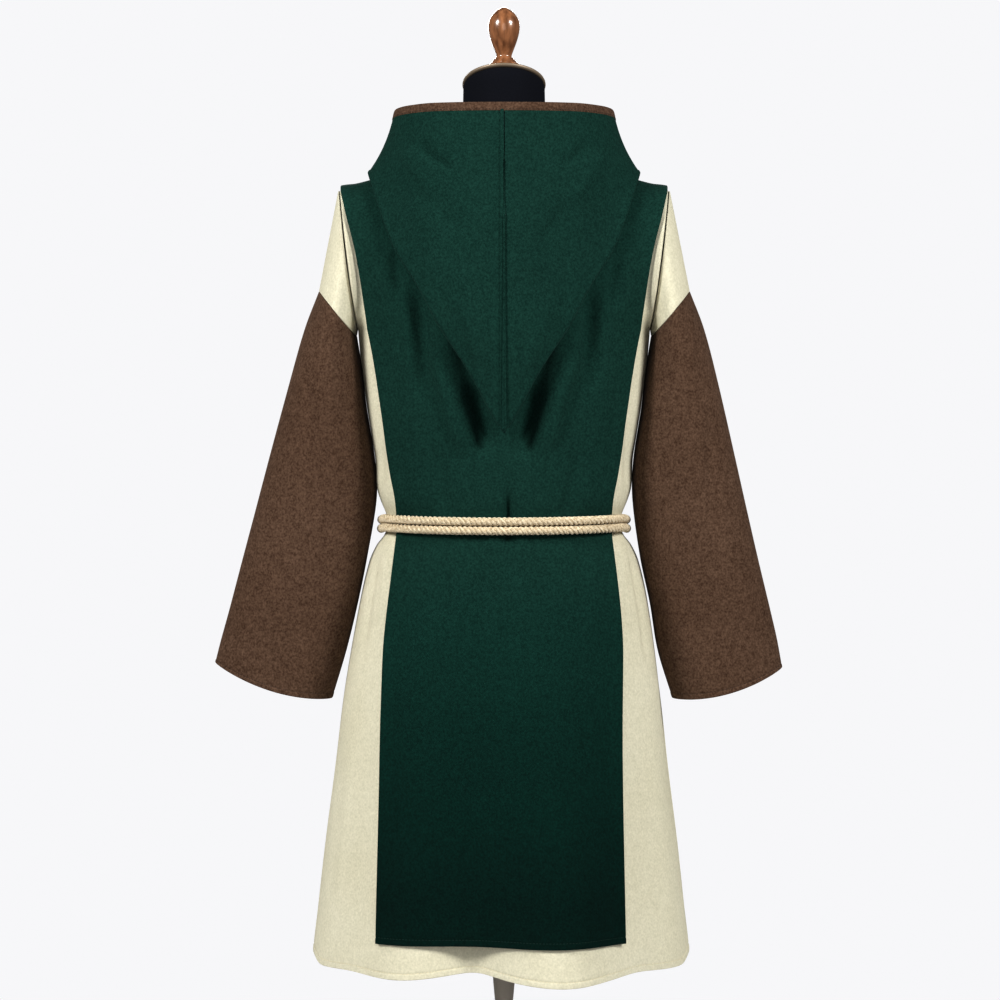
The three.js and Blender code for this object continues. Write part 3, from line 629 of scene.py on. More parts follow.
def area_light(name, place, size, power):
    data = bpy.data.lights.new(name, "AREA")
    data.shape = "DISK"
    data.size = size
    data.energy = power
    light = bpy.data.objects.new(name, data)
    bpy.context.scene.collection.objects.link(light)
    light.location = place
    aimed(light, LIT_POINT)
    return light


def place_world():
    """An even white surround, softer as a light than it looks to the camera."""
    world = bpy.data.worlds.new("studio")
    bpy.context.scene.world = world
    world.use_nodes = True
    nodes, links = tree(world)
    nodes.clear()
    seen = nodes.new("ShaderNodeBackground")
    seen.inputs["Color"].default_value = (0.9436, 0.9436, 0.9576, 1)
    fill = nodes.new("ShaderNodeBackground")
    fill.inputs["Color"].default_value = (0.93, 0.96, 1, 1)
    fill.inputs["Strength"].default_value = 0.13
    path = nodes.new("ShaderNodeLightPath")
    blend = nodes.new("ShaderNodeMixShader")
    out = nodes.new("ShaderNodeOutputWorld")
    links.new(path.outputs["Is Camera Ray"], blend.inputs["Fac"])
    links.new(fill.outputs["Background"], blend.inputs[1])
    links.new(seen.outputs["Background"], blend.inputs[2])
    links.new(blend.outputs["Shader"], out.inputs["Surface"])


# Materials


def shader(name, roughness, color=None, metallic=0.0, sheen=0.0, coat=0.0, specular=0.5):
    material = bpy.data.materials.new(name)
    material.use_nodes = True
    node = material.node_tree.nodes["Principled BSDF"]
    node.inputs["Roughness"].default_value = roughness
    node.inputs["Metallic"].default_value = metallic
    node.inputs["Sheen Weight"].default_value = sheen
    node.inputs["Sheen Roughness"].default_value = 0.5
    node.inputs["Coat Weight"].default_value = coat
    node.inputs["Coat Roughness"].default_value = 0.12
    node.inputs["Specular IOR Level"].default_value = specular
    if color:
        node.inputs["Base Color"].default_value = (*color, 1)
    return material, node


def noise(material, vector, scale, detail=2.0, stretch=None):
    nodes, links = tree(material)
    if stretch:
        mapping = nodes.new("ShaderNodeMapping")
        mapping.inputs["Scale"].default_value = stretch
        links.new(vector, mapping.inputs["Vector"])
        vector = mapping.outputs["Vector"]
    node = nodes.new("ShaderNodeTexNoise")
    node.inputs["Scale"].default_value = scale
    node.inputs["Detail"].default_value = detail
    links.new(vector, node.inputs["Vector"])
    return node.outputs["Fac"]


def ramp(material, value, stops):
    nodes, links = tree(material)
    node = nodes.new("ShaderNodeValToRGB")
    elements = node.color_ramp.elements
    while len(elements) < len(stops):
        elements.new(0.5)
    for element, (place, color) in zip(elements, stops):
        element.position = place
        element.color = (*color, 1)
    links.new(value, node.inputs["Fac"])
    return node.outputs["Color"]


def blend(material, share, a, b, how="MIX"):
    nodes, links = tree(material)
    node = nodes.new("ShaderNodeMix")
    node.data_type = "RGBA"
    node.blend_type = how
    for value, socket in ((share, node.inputs[0]), (a, node.inputs[6]), (b, node.inputs[7])):
        if isinstance(value, (int, float)):
            socket.default_value = value
        elif isinstance(value, tuple):
            socket.default_value = (*value, 1)
        else:
            links.new(value, socket)
    return node.outputs[2]


def bump(material, node, height, strength, distance):
    nodes, links = tree(material)
    bumps = nodes.new("ShaderNodeBump")
    bumps.inputs["Strength"].default_value = strength
    bumps.inputs["Distance"].default_value = distance
    links.new(height, bumps.inputs["Height"])
    links.new(bumps.outputs["Normal"], node.inputs["Normal"])


def paint(material, node, color):
    material.node_tree.links.new(color, node.inputs["Base Color"])


def place_in_object(material):
    return material.node_tree.nodes.new("ShaderNodeTexCoord").outputs["Object"]


def wool(name, dark, light, tint, fleck, sheen=0.03, mottle=0.18):
    """Fulled wool: a fine melange of dark and light fibres, a little uneven in tone."""
    material, node = shader(name, 0.95, sheen=sheen, specular=0.1)
    at = place_in_object(material)
    fibres = noise(material, at, 330, 3)
    hairs = noise(material, at, 900, 2, stretch=(1, 1, 0.35))
    clouds = noise(material, at, 110, 3)
    mixed = blend(material, 0.35, fibres, hairs)
    base = ramp(material, mixed, [(0.5 - fleck, dark), (0.5 + fleck, light)])
    base = blend(material, mottle, base, ramp(material, clouds, [(0.35, dark), (0.65, light)]))
    tones = noise(material, at, 9, 2)
    color = blend(material, 1.0, base, ramp(material, tones, [(0.3, tint), (0.7, (1, 1, 1))]), "MULTIPLY")
    paint(material, node, color)
    bump(material, node, mixed, 0.55, 0.0005)
    return material, color, node


def shaded_to_hem(made, low, high, shade_tints):
    """The same cloth, with painted shade darkening it towards the hem: tinted in even steps from low up to
    high.
    """
    material, color, node = made
    nodes, links = tree(material)
    split = nodes.new("ShaderNodeSeparateXYZ")
    links.new(place_in_object(material), split.inputs["Vector"])
    span = nodes.new("ShaderNodeMapRange")
    span.inputs["From Min"].default_value = low
    span.inputs["From Max"].default_value = high
    links.new(split.outputs["Z"], span.inputs["Value"])
    stops = [(i / len(shade_tints), tint) for i, tint in enumerate(shade_tints)]
    # painted shade: a ramp from the darkest tint at low up to white at high, multiplied into the cloth's
    # colour
    depth = ramp(material, span.outputs["Result"], [*stops, (1, (1, 1, 1))])
    paint(material, node, blend(material, 1.0, color, depth, "MULTIPLY"))
    return material


def thread(name, color):
    return shader(name, 0.75, color, specular=0.3)[0]


def rope_fibre(name, dark, light):
    """Natural fibre, twisted: fine yarns run aslant along each strand."""
    material, node = shader(name, 0.7, sheen=0.15, specular=0.3)
    lay = material.node_tree.nodes.new("ShaderNodeUVMap")
    lay.uv_map = "lay"
    yarns = noise(material, lay.outputs["UV"], 5, 2, stretch=(62, 1.6, 1))
    hairs = noise(material, place_in_object(material), 1100, 2)
    both = blend(material, 0.45, yarns, hairs)
    color = ramp(material, both, [(0.36, dark), (0.62, light)])
    paint(material, node, color)
    bump(material, node, both, 0.6, 0.0006)
    return material


def polished_wood():
    material, node = shader("polished_wood", 0.28, coat=0.6)
    at = place_in_object(material)
    grain = noise(material, at, 22, 4, stretch=(7, 7, 1))
    color = ramp(material, grain, [(0.3, (0.13, 0.052, 0.020)), (0.7, (0.36, 0.165, 0.075))])
    paint(material, node, color)
    return material


def jersey():
    material, node = shader("form_jersey", 0.85, specular=0.15)
    weave = noise(material, place_in_object(material), 1500, 1)
    color = ramp(material, weave, [(0.3, (0.0025, 0.003, 0.006)), (0.7, (0.006, 0.007, 0.012))])
    paint(material, node, color)
    bump(material, node, weave, 0.3, 0.0003)
    return material


CREAM = wool("cream_wool", (0.55, 0.525, 0.40), (0.71, 0.675, 0.535), (0.955, 0.95, 0.93), 0.17)[0]
BROWN_FIBRES = (0.055, 0.029, 0.017), (0.150, 0.094, 0.063)
BROWN = wool("brown_wool", *BROWN_FIBRES, (0.88, 0.86, 0.84), 0.12, mottle=0.24)[0]
GREEN_FIBRES = (0.0038, 0.0262, 0.0196), (0.0122, 0.0536, 0.0404)
GREEN_WOOL = wool("green_wool", *GREEN_FIBRES, (0.88, 0.90, 0.90), 0.12, sheen=0.015)
# Painted shade: the green is darkened towards the hem, between 0.45 m and 0.93 m high.
HEM_SHADE_TINTS = ((0.08, 0.36, 0.35), (0.17, 0.54, 0.52), (0.33, 0.68, 0.66), (0.62, 0.86, 0.85))
GREEN = shaded_to_hem(GREEN_WOOL, 0.45, 0.93, HEM_SHADE_TINTS)
ROPE_LOOK = rope_fibre("rope", (0.36, 0.27, 0.155), (0.80, 0.70, 0.52))
CREAM_THREAD = thread("cream_thread", (0.68, 0.61, 0.44))
BROWN_THREAD = thread("brown_thread", (0.050, 0.034, 0.026))
GREEN_THREAD = thread("green_thread", (0.0075, 0.032, 0.022))
JERSEY = jersey()
BRASS = shader("bronze_plate", 0.5, (0.27, 0.21, 0.15), metallic=0.45)[0]
WOOD = polished_wood()
STAND = shader("stand_metal", 0.45, (0.27, 0.24, 0.20), metallic=0.3)[0]
FLOOR = shader("floor", 0.8, (0.75, 0.75, 0.77))[0]


# The belt's route, then its rope

BELT_BACK_RISE, BELT_SIDE_RISE, BELT_HALF = 1.6, 2.4, 180  # how much the belt rises on the back


def belt_path(z, way_round=181):
    """The middle of one turn of the belt, from the front's middle round the back to the front."""
    spread = np.sin(np.linspace(math.pi / 2, -math.pi / 2, way_round))[:-1]
    s = np.concatenate([spread, -spread])
    way = np.concatenate([np.ones(len(spread)), -np.ones(len(spread))])
    ring = skirt_point(s, np.full(len(s), float(z)), way)
    along = np.roll(ring, -1, axis=0) - np.roll(ring, 1, axis=0)
    out = unit(np.stack([-along[:, 1], along[:, 0], np.zeros(len(s))], axis=-1))
    out = out * np.sign(np.sum(out[:, :2] * ring[:, :2], axis=1))[:, None]
    reach = scapular_reach(np.array((z - HEM_Z) / (UNDERARM_Z - HEM_Z)))
    layers = (AIR + GREEN_CLOTH) * soften((reach + 0.1 - np.abs(s)) / 0.08)
    path = ring + out * (ROPE / 2 + BELT_AIR + layers)[:, None]
    rise = BELT_BACK_RISE + BELT_SIDE_RISE * (path[:, 0] / BELT_HALF) ** 2
    path[:, 2] = z + soften(path[:, 1] / 60) * rise
    middle = int(np.argmin(np.abs(path[:, 0]) + 1000 * (path[:, 1] > 0)))
    return np.roll(path, -middle, axis=0)


TURN_Z = ROPE / 2 + SEAM
TURN_END = 3.5  # how near its start a turn's route leaves off
KNOT_X, KNOT_Y, KNOT_Z = 20, 12, 15
KNOT_NEST = 0.9  # how deep the knot sits between the two turns
TAILS = (("left", 7, 22, 395), ("right", -7, -16, 430))  # start, sway and drop
TAIL_POINTS = 9
TAIL_AIR = 2.5
TAIL_KNOT = 11
TAIL_KNOT_FORWARD = 5
KNOT_FRONT = belt_path(BELT_Z + TURN_Z)[0, 1] - KNOT_Y - ROPE / 2 + KNOT_NEST


def tail_path(x, sway, drop):
    """The middle of a hanging end, from under the knot down."""
    t = np.linspace(0, 1, TAIL_POINTS)
    z = BELT_Z - KNOT_Z - SEAM - drop * t
    px = x + sway * soften(t)
    across = px / read(TUNIC, "z", "half", z)
    lift = AIR + GREEN_CLOTH + ROPE / 2 + TAIL_AIR
    y = skirt_point(across, z, -1.0, BRIDGED)[:, 1] - lift
    return points(px, np.minimum(y, mix(KNOT_FRONT, y, np.minimum(1, 5 * t))), z)


def wound(radius_x, radius_y, half_height, turns, start):
    """A rope's middle wound round an upright line."""
    t = np.linspace(0, 1, int(24 * turns))
    angle = start + 2 * math.pi * turns * t
    return points(radius_x * np.cos(angle), radius_y * np.sin(angle), half_height * (1 - 2 * t))


def place_belt():
    for name, z, turn in (("upper", BELT_Z + TURN_Z, 0.4), ("lower", BELT_Z - TURN_Z, 2.3)):
        path = belt_path(z)
        path = path[np.hypot(path[:, 0], path[:, 1] - path[0, 1]) > TURN_END]
        made = rope(f"turn_{name}", path[::3], diameter=ROPE + 2 * SEAM, turn=turn)
        keep(made, "rope", f"belt_turn_{name}")
    knot = wound(KNOT_X - ROPE / 2, KNOT_Y - ROPE / 2, KNOT_Z - ROPE / 2, 2.6, 1.2)
    made = rope("knot", knot + [0, KNOT_FRONT, BELT_Z], diameter=ROPE - 0.5, turn=1)
    keep(made, "rope", "belt_knot")
    for name, x, sway, drop in TAILS:
        path = tail_path(x, sway, drop)
        tail = rope(f"tail_{name}", path, turn=x)
        keep(tail, "rope", f"belt_tail_{name}")
        end = path[-1] - [0, TAIL_KNOT_FORWARD, TAIL_KNOT + SEAM]
        coil = wound(TAIL_KNOT - 5, TAIL_KNOT - 5, TAIL_KNOT - 5.5, 2.2, 0.5)
        knob = rope(f"tail_{name}_end", coil + end, diameter=10, turn=2)
        keep(knob, "rope", f"belt_tail_{name}_end")
        route = smooth_path(path, 20)


def keep(piece, slot, *nodes):
    """Gives a piece to the part's one body, in place of its solids. The slot argument is not used."""
    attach(piece, "root")
    if nodes:
        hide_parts(*nodes)
    return piece


# Dress form and stand


FORM_SIDES = 72
FORM_HEIGHTS = (*np.linspace(792, 1410, 50)[:-1], *np.linspace(1410, 1500, 40), 1540, 1575, 1590)
NECK_RIM = ((-2, 0), (-0.6, 0.5), (0, 2))  # height, and how much narrower
PLATE = (
    (0, -1), (0.4, 0.2), (1.2, 1), (2.6, 1.4), (4, 1.2), (5, 0.6), (5.6, -0.4),
    (PLATE_THICK, -2), (PLATE_THICK - 0.5, -4), (PLATE_THICK - 0.4, -20), (PLATE_THICK - 0.4, -50),
)
FINIAL = (
    (18.5, 0), (19.5, 0.5), (21.6, 2.2), (22.7, 5), (23, 9), (22.9, 14), (22.4, 17), (21.2, 19),
    (19.4, 20.2), (17.2, 21.4), (16.4, 23), (15.6, 24.6), (13.6, 26.2), (11.6, 27.8), (10.8, 29.4),
    (10.9, 31), (11.7, 33.4), (12.9, 36.6), (14.3, 40.2), (15.8, 44), (17.4, 48.4), (18.9, 53),
    (20.2, 57.6), (21.3, 62), (22, 66), (22.2, 70), (22.2, 73.6), (21.7, 77), (20.8, 80.4),
    (19.3, 83.8), (17.3, 87), (14.9, 90), (12, 92.8), (8.8, 95.2), (5.4, 97.2), (2, 98.4),
)
POLE = ((12.5, 10.4), (12.5, 286), (13.4, 294), (15.2, 314), (16, 326), (16, 791))
BASE = ((188.5, 0), (190, 1.5), (190, 4), (187, 6), (40, 10), (14, 10.2))


def form_ring(z, half, back, front, square, tilt=0.0):
    turn = turns_round(FORM_SIDES)
    y = np.where(np.sin(turn) > 0, back, front) * signed_power(np.sin(turn), 2 / square)
    return points(half * signed_power(np.cos(turn), 2 / square), y, z + tilt * y)


def neck_ring(z, radius):
    """A round ring, tilted like the neck's top."""
    return form_ring(z, radius, radius, radius, 2, tilt=NECK_TILT)


def turned(name, profile, material, at, sides):
    """A solid turned from a profile of radius and height."""
    turn = turns_round(sides)
    rings = [points(r * np.cos(turn), r * np.sin(turn), z) + at for r, z in profile]
    return lofted(name, np.array(rings), material)


def place_form():
    columns = ("half", "back", "front", "square")
    rings = [form_ring(z, *(read(FORM, "z", name, z) for name in columns)) for z in FORM_HEIGHTS]
    top, radius = FORM["z"][-1], FORM["half"][-1]
    rings += [neck_ring(top + lift, radius - shrink) for lift, shrink in NECK_RIM]
    keep(lofted("form_skin", np.array(rings), JERSEY), "form_jersey", "form_body")
    place_stand(top + SEAM)


def place_stand(bottom):
    """The plate on the neck, from its lower face up, then the finial, the pole and the base."""
    plate = [neck_ring(bottom + h, PLATE_RADIUS + out) for h, out in PLATE]
    keep(lofted("neck_plate", np.array(plate), BRASS), "bronze_plate", "form_neck_plate")
    seat = bottom + PLATE_THICK + NECK_TILT * FINIAL_FOOT + SEAM
    keep(turned("finial", FINIAL, WOOD, (0, 0, seat), 64), "polished_wood", "form_finial")
    keep(turned("pole", POLE, STAND, (0, 0, 0), 48), "stand_metal", "form_pole")
    keep(turned("base", BASE, STAND, (0, 0, 0), 128), "stand_metal", "form_base")


# Hems: a fold of cloth at a free edge, held by a line of stitches

HEM_STEPS = (0, 0.8, 1.8, 3.2, 4.8, 6, 6.8, 7.5, 8.2, 9, 10.5, 13, 17)
STITCH_ROW = HEM_STEPS.index(STITCH_IN)
ROW_STEP = 5.5


def hem_height(far, deep=0.7):
    """Height of a hem at a distance from its edge: fuller at the fold, drawn in by its stitches."""
    fold = 0.45 * soften((STITCH_IN + 2 - far) / 4)
    return fold - deep * bell((far - STITCH_IN) / 1.2)


def hem_distances(length):
    """Distances from a hem up to a length: close together at the hem, then in even steps."""
    return np.concatenate([HEM_STEPS, np.arange(HEM_STEPS[-1] + ROW_STEP, length, ROW_STEP)])


def hem_rises(start):
    length = UNDERARM_Z - HEM_Z
    return start + hem_distances(length * (1 - start)) / length


def hem_stitches(name, grid, normals, look, slot):
    line = grid[STITCH_ROW] + normals[STITCH_ROW] * 0.1
    return keep(stitches(name, line, normals[STITCH_ROW], look), slot)


# Tunic and scapular

TUNIC_COLUMNS, SCAPULAR_COLUMNS = 131, 77
EDGE_LIFT = 2.8  # how far the scapular's long edges stand off the tunic
YOKE_RISES = np.linspace(1, 2, 46)[1:]
TUNIC_CREASES = {
    1: (
        (212, 700, 238, 400, 4, 12, 2.5),
        (196, 560, 205, 380, -3, 9, -2.5),
        (172, 950, 200, 770, -4, 6, -4),
        (160, 952, 176, 800, -3, 4, 1.6),
        (181, 1230, 170, 990, 0, 8, -5),
        (-205, 720, -236, 420, -4, 12, 2.2),
        (-190, 600, -204, 390, 3, 10, -2.6),
        (-172, 950, -202, 760, 4, 6, -4.5),
        (-160, 954, -176, 790, 2, 4, 2),
        (-181, 1230, -170, 990, 0, 8, -5),
        (-120, 420, -126, 356, 0, 16, -2),
    ),
    -1: (
        (205, 720, 236, 400, 4, 12, 2.5),
        (-196, 600, -214, 380, 3, 10, -2.8),
        (-215, 760, -244, 420, -4, 12, 2.4),
    ),
}
SCAPULAR_CREASES = {
    1: (
        (151, 1362, 148, 1285, 0, 9, -6),
        (124, 1318, 114, 1140, 3, 17, -13),
        (138, 1290, 131, 1150, 2, 8, 2.5),
        (76, 1254, 19, 1058, 5, 18, -12),
        (52, 1176, 22, 1062, 4, 19, -12),
        (104, 1214, 56, 1060, 3, 13, 9),
        (96, 1090, 74, 975, -4, 13, -4),
        (-152, 1345, -148, 1268, 0, 9, -5),
        (-119, 1318, -120, 1150, -3, 17, -13),
        (-136, 1290, -138, 1160, -2, 8, 2.5),
        (-21, 1056, -74, 1254, 5, 18, -12),
        (-24, 1060, -53, 1180, 4, 19, -12),
        (-58, 1060, -103, 1214, 3, 13, 9),
        (-100, 1090, -80, 975, 4, 13, -4),
        (-5, 1026, -5, 940, 0, 5, -9),
        (-14, 968, -52, 868, 4, 9, 2.4),
        (6, 968, 40, 876, -4, 9, 2.4),
        (84, 960, 92, 800, 3, 12, -2.2),
        (-104, 962, -112, 820, -3, 13, -2.4),
    ),
    -1: (
        (138, 1370, 120, 1190, 4, 11, -6),
        (-132, 1370, -118, 1200, -4, 11, -6.4),
        (60, 1290, 34, 1110, -4, 15, -7),
        (-66, 1280, -40, 1090, 4, 15, -6),
        (4, 1030, 3, 940, 0, 6, -6),
        (88, 962, 98, 790, 3, 12, -3),
        (-92, 962, -104, 800, -3, 12, -2.6),
    ),
}


def with_neck_ends(share, neck):
    """Shares of a panel's width, with the nearest ones moved onto the two ends of the neckline."""
    for end in (-neck, neck):
        share[np.argmin(np.abs(share - end))] = end
    return share


def raised(grid, normals, height):
    return grid + normals * height[..., None]


def place_tunic(way, name):
    rises = np.concatenate([hem_rises(0), YOKE_RISES])[:, None]
    t = np.linspace(-1, 1, TUNIC_COLUMNS)
    across = with_neck_ends(mix(t, np.sin(t * math.pi / 2), 0.6), NECK_ACROSS)[None]
    grid = tunic_point(across, rises, float(way))
    normals = grid_normals(grid, False)
    x, z = grid[..., 0], grid[..., 2]
    under = np.minimum(creases(x, z, SCAPULAR_CREASES[way]), 0)
    height = creases(x, z, TUNIC_CREASES[way]) + under + hem_height(rises * (UNDERARM_Z - HEM_Z))
    grid = raised(grid, normals, height) + [0, way * SEAM / 2, 0]
    seams = ("top", "start", "end")
    panel = keep(shell(f"tunic_{name}_cloth", grid, CLOTH, CREAM, seams=seams), "cream_wool", f"tunic_{name}")
    sewing = hem_stitches(f"tunic_{name}_stitches", grid, normals, CREAM_THREAD, "cream_wool")


def place_scapular(way, name):
    rises = np.concatenate([hem_rises(SCAPULAR_HEM_RISE), YOKE_RISES])[:, None]
    share = with_neck_ends(np.linspace(-1, 1, SCAPULAR_COLUMNS), NECK_ACROSS / SCAPULAR_REACH)
    across = share[None] * scapular_reach(rises)
    grid = tunic_point(across, rises, float(way), BRIDGED)
    normals = grid_normals(grid, False)
    x, z = grid[..., 0], grid[..., 2]
    far = (rises - SCAPULAR_HEM_RISE) * (UNDERARM_Z - HEM_Z)
    edge = EDGE_LIFT * soften((np.abs(share) - 0.9) / 0.1)[None]
    height = AIR + GREEN_CLOTH + creases(x, z, SCAPULAR_CREASES[way]) + hem_height(far, 0.6) + edge
    grid = raised(grid, normals, height) + [0, way * SEAM / 2, 0]
    piece = shell(f"scapular_{name}_cloth", grid, GREEN_CLOTH, GREEN, seams=("top",))
    keep(piece, "green_wool", f"scapular_{name}")
    sewing = hem_stitches(f"scapular_{name}_stitches", grid, normals, GREEN_THREAD, "green_wool")


# Sleeves

SLEEVES = {"left": SLEEVE, "right": SLEEVE_RIGHT}
SLEEVE_SIDES, HEAD_ROWS = 108, 16
SLEEVE_LENGTH, CUFF_ROW = 560, 8
SLEEVE_FULLNESS = 0.7  # how square the sleeve's section is below its seam: 1 is an ellipse
SLEEVE_CREASES = {
    "left": (
        (277, 1200, 271, 955, 4, 11, -3.2),
        (243, 1290, 243, 1110, 2, 3, 1.3),
        (330, 900, 318, 760, 4, 12, 1.6),
    ),
    "right": (
        (-265, 1296, -265, 1165, -2, 3, 1.3),
        (-290, 1150, -296, 930, -5, 12, -2.4),
    ),
}


def sleeve_ring(sleeve, row, turn, bow=0):
    t = (1 + np.cos(turn)) / 2
    at = {name: read(sleeve, "row", name, row) for name in ("outX", "outZ", "inX", "inZ", "depth")}
    z = mix(at["inZ"], at["outZ"], t) - bow * np.sin(turn) ** 2
    full = mix(1, SLEEVE_FULLNESS, soften(row / 2))
    y = at["depth"] * signed_power(np.sin(turn), full)
    return points(mix(at["inX"], at["outX"], t), y, z)


def armhole_ring(turn):
    high = (1 + np.cos(turn)) / 2
    way = np.where(np.sin(turn) >= 0, 1.0, -1.0)
    rise = 2 - np.where(turn <= math.pi, turn, 2 * math.pi - turn) / math.pi
    place = tunic_point(np.ones(len(turn)), rise, way)
    pad = way * SEAM / 2 * (np.abs(np.sin(turn)) > 0.01)
    return place + points(SEAM + CLOTH * high, pad, -high)


def place_sleeve(side):
    turn = turns_round(SLEEVE_SIDES)
    mirror = np.array([1 if side == "left" else -1, 1, 1])
    head = place_sleeve_head(side, turn, mirror)
    place_lower_sleeve(side, turn, mirror)


def place_sleeve_head(side, turn, mirror):
    t = np.linspace(0, 1, HEAD_ROWS)[:, None, None]
    rings = mix(armhole_ring(turn)[None], sleeve_ring(SLEEVES[side], 0, turn)[None], t) * mirror
    head = shell(f"sleeve_head_{side}_cloth", rings, CLOTH, CREAM, around=True, seams=("top", "bottom"))
    keep(head, "cream_wool", f"sleeve_head_{side}")
    return head


def place_lower_sleeve(side, turn, mirror):
    far = np.concatenate([hem_distances(SLEEVE_LENGTH - 3), [SLEEVE_LENGTH]])
    rows = (CUFF_ROW * (1 - far / SLEEVE_LENGTH))[:, None]
    bow = CUFF_BOW * soften((rows - 6.6) / 1.4)
    grid = sleeve_ring(SLEEVES[side], rows, turn[None], bow) * mirror
    normals = grid_normals(grid, True)
    facing = soften(0.5 + normals[..., 1] / 0.5)
    height = creases(grid[..., 0], grid[..., 2], SLEEVE_CREASES[side]) * facing
    grid = raised(grid, normals, height + hem_height(far, 0.6)[:, None])
    grid[-1] += [0.25, 0, -0.9] * mirror * SEAM
    lower = shell(f"sleeve_{side}_cloth", grid, CLOTH, BROWN, around=True, seams=("top",))
    keep(lower, "brown_wool", f"sleeve_{side}")
    ring, out = looped(grid[STITCH_ROW]), looped(normals[STITCH_ROW])
    sewing = keep(stitches(f"cuff_{side}_stitches", ring, out, BROWN_THREAD), "brown_wool")


# Hood

BAND_SIDES, BAND_SQUARE = 20, 0.62
HOOD_END = 12
FACE_ROWS, FOLD_STEPS, UNDER_ROWS = 74, 7, 16
SEAM_LINES, SEAM_ROWS = 60, 78  # the part of the hood that its seam's ridge can reach
HOOD_CREASES = {
    "left": (
        (122, 1504, 66, 1460, -5, 8, -5),
        (150, 1500, 104, 1420, 6, 14, 3),
        (128, 1440, 52, 1352, 7, 18, -3.2),
        (60, 1300, 30, 1180, -3, 14, 2.4),
    ),
    "right": (
        (-118, 1508, -78, 1466, 4, 10, -3),
        (-150, 1496, -96, 1410, -6, 15, 3.2),
        (-104, 1430, -48, 1340, -6, 18, -3),
        (-62, 1296, -32, 1176, 3, 14, 2.2),
    ),
}
SEAM_RIDGE = 5.6  # width of the ridge that the seam's allowance makes on its left side


def seam_height(x):
    """Height over the hood's middle seam: a low ridge along its left side, between two narrow grooves."""
    ridge = 0.9 * soften((SEAM_RIDGE - x) / 1.2) - 0.9 * bell((x - SEAM_RIDGE - 0.8) / 0.9)
    return np.where(x > 0, ridge, 0)


def place_on_yoke(x, z, way):
    """Where points of the yoke lie, as across and over: the way past the shoulder seam."""
    across_at = lambda rise: np.clip(x / mix(UNDERARM_X, SHOULDER_X, soften(rise - 1)), -1, 1)
    low, high = np.full(len(x), 0.5), np.full(len(x), 2.0)
    for _ in range(40):
        rise = (low + high) / 2
        under = tunic_point(across_at(rise), rise, way)[:, 2] < z
        low, high = np.where(under, rise, low), np.where(under, high, rise)
    return across_at(low), way * (2 - low)


HOOD["across"], HOOD["over"] = place_on_yoke(HOOD["foldX"], HOOD["foldZ"], HOOD["way"])


def fold_place(round_at):
    """Where the hood's fold lies: from its own x and z up to the row FOLD_DIRECT, then by the yoke."""
    x, z = (read(HOOD, "round", name, round_at) for name in ("foldX", "foldZ"))
    across, over = place_on_yoke(x, z, 1.0)
    share = soften(round_at - FOLD_DIRECT)
    across = mix(across, read(HOOD, "round", "across", round_at), share)
    return across, mix(over, read(HOOD, "round", "over", round_at), share)


def over_point(across, over, out):
    return lifted_point(across, 2 - np.abs(over), np.where(over < 0, -1.0, 1.0), out)


def fold_frame(round_at, height):
    """The fold's places at a height off the tunic, and the directions there up and out past it."""
    across, over = fold_place(round_at)
    fold = over_point(across, over, height)
    normal = unit(over_point(across, over, height + 1) - fold)
    after, before = np.minimum(round_at + 0.1, HOOD_END), np.maximum(round_at - 0.1, 0)
    along = over_point(*fold_place(after), height) - over_point(*fold_place(before), height)
    outward_way = unit(np.cross(along, normal))
    ends = (round_at <= 0) | (round_at >= HOOD_END)
    outward_way[ends] = [0, 0, -1]
    wrong = outward_way[:, 0] * across - outward_way[:, 2] < 0
    outward_way[wrong] *= -1
    return fold, normal, outward_way


def hood_lines(round_at):
    """The hood's outer face: a line for each place round it, from the face edge down to the fold,
    and under it back to the neck."""
    at = lambda name: read(HOOD, "round", name, round_at)
    across, over = fold_place(round_at)
    loft = HOOD_LOFT + POINT_LOFT * soften((3.2 - round_at) / 2.4)
    fold, normal, outward_way = fold_frame(round_at, HOOD_REST + loft)
    ply = HOOD_PLY / 2
    seat = fold - outward_way * ply
    crest = seat + normal * HOOD_PLY
    edge = points(at("edgeX"), at("edgeY"), at("edgeZ"))
    fall = crest - edge
    puff = unit(normal + unit(edge * [1, 1, 0])) * at("puff")[:, None]
    a, b = edge + fall / 3 + puff, edge + 2 * fall / 3 + puff
    face = [bezier(edge, a, b, crest, t[:, None]) for t in face_places(np.linalg.norm(a - edge, axis=1))]
    turn = [
        seat + normal * ply * (1 + math.cos(t * math.pi)) + outward_way * ply * math.sin(t * math.pi)
        for t in np.linspace(0, 1, FOLD_STEPS + 1)[1:-1]
    ]
    facing = np.cos(round_at / HOOD_END * math.pi)
    neck_over = facing * np.where(facing > 0, NECK_OVER_BACK, NECK_OVER_FRONT)
    under = []
    for t in np.linspace(0, 1, UNDER_ROWS):
        swell = HOOD_SWELL * math.sin(t * math.pi) + HOOD_CHEST * np.maximum(0, -facing)
        out = HOOD_REST + loft * (1 - t) + swell
        place = over_point(mix(across, at("neck"), t), mix(over, neck_over, t), out)
        under.append(place + (seat - fold) * (1 - t))
    return np.stack([*face, *turn, *under], axis=1), edge, unit(a - edge)


def face_places(lead):
    """Places down the hood's side, closer together near the band."""
    start = (BAND_WIDTH - BAND_OVERLAP) / (3 * lead)
    return [start + (1 - start) * t for t in np.linspace(0, 1, FACE_ROWS) ** 1.15]


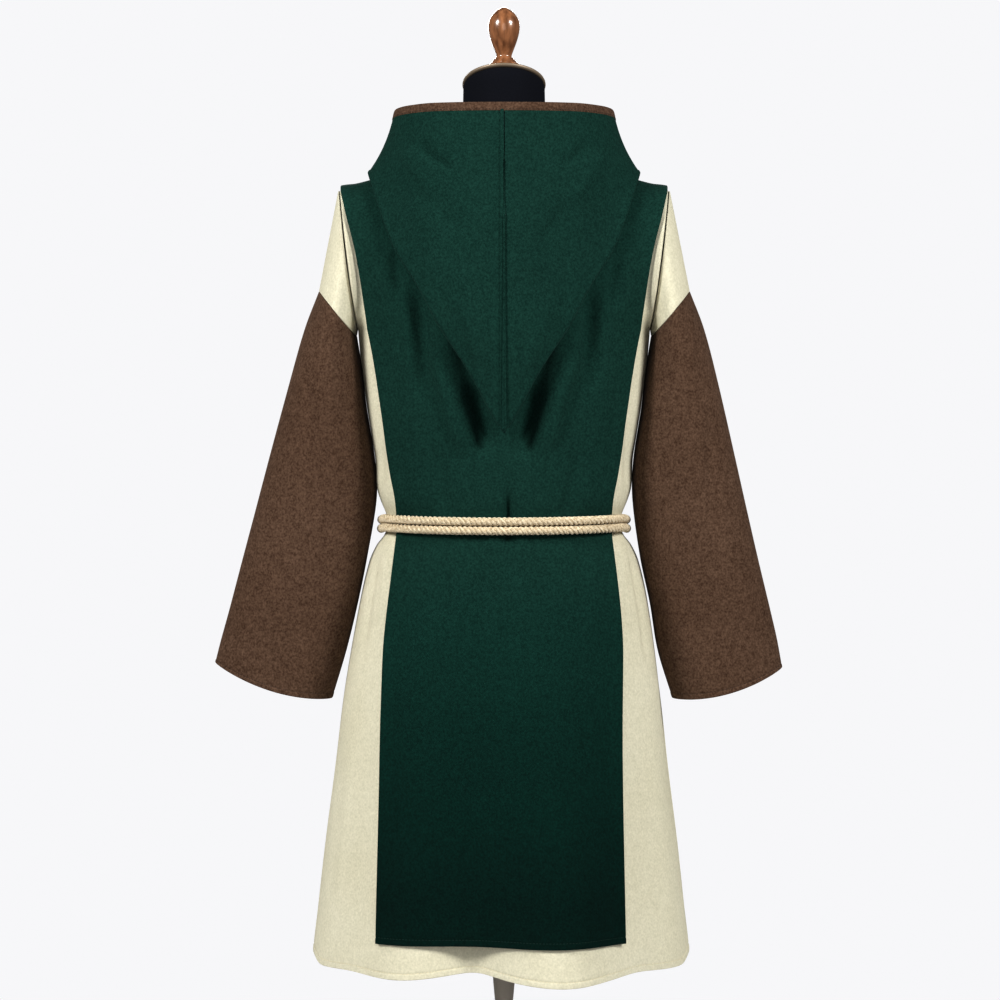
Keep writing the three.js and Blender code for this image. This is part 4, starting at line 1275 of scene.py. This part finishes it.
def place_hood():
    beside_seam = np.linspace(0, 0.56, 21)
    round_at = np.union1d(np.linspace(0, HOOD_END, 151), beside_seam)
    lines, edge, down = hood_lines(round_at)
    for side, way in (("left", 1), ("right", -1)):
        grid = lines * [way, 1, 1]
        normals = grid_normals(grid, False)
        normals[[0, -1], :, 0] = 0
        normals = unit(normals)
        height = creases(grid[..., 0], grid[..., 2], HOOD_CREASES[side])
        height[:, FACE_ROWS:] = 0
        height = height * soften(normals[..., 1] / 0.3)
        if side == "left":
            height[:SEAM_LINES, :SEAM_ROWS] += seam_height(grid[:SEAM_LINES, :SEAM_ROWS, 0])
        grid = raised(grid, normals, height) + [way * SEAM / 2, 0, 0]
        seams = ("top", "bottom", "start", "end")
        half = shell(f"hood_{side}_cloth", grid, GREEN_CLOTH, GREEN, seams=seams, normals=normals)
        keep(half, "green_wool", f"hood_{side}")
    place_band(edge, down)


def place_band(edge, down):
    """The binding round the face opening, a rounded fold of cloth."""
    mirror = np.array([-1, 1, 1])
    loop = np.concatenate([edge, edge[-2:0:-1] * mirror])
    ways = np.concatenate([down, down[-2:0:-1] * mirror])
    along = unit(np.roll(loop, -1, axis=0) - np.roll(loop, 1, axis=0))
    out = unit(np.cross(along, ways))
    out = out * np.sign(np.sum(out[:, :2] * loop[:, :2], axis=1))[:, None]
    turn = turns_round(BAND_SIDES)
    wide = BAND_WIDTH / 2 * signed_power(np.cos(turn), BAND_SQUARE)
    thick = BAND_THICK / 2 * signed_power(np.sin(turn), BAND_SQUARE)
    centre = loop + ways * BAND_WIDTH / 2 + out * (1 - BAND_THICK / 2)
    rings = centre[:, None] + ways[:, None] * wide[None, :, None] + out[:, None] * thick[None, :, None]
    face = np.arange(len(rings) * BAND_SIDES).reshape(-1, BAND_SIDES)
    places = rings.reshape(-1, 3)
    quads = outward(places, grid_quads(looped(face), True))
    band = keep(add_mesh("hood_band_cloth", places, [quads], BROWN), "brown_wool", "hood_band")
    line = loop + ways * (BAND_WIDTH - 2.4) + out * 0.85
    sewing = keep(stitches("hood_band_stitches", looped(line), looped(out), BROWN_THREAD), "brown_wool")


def place_studio():
    floor = turned("floor", [(FLOOR_RADIUS, z) for z in FLOOR_LEVELS], FLOOR, (0, 0, 0), 96)
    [area_light(*light) for light in LIGHTS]


place_camera()
place_world()
place_belt()
place_form()
place_tunic(1, "back")
place_tunic(-1, "front")
place_scapular(1, "back")
place_scapular(-1, "front")
place_sleeve("left")
place_sleeve("right")
place_hood()
place_studio()
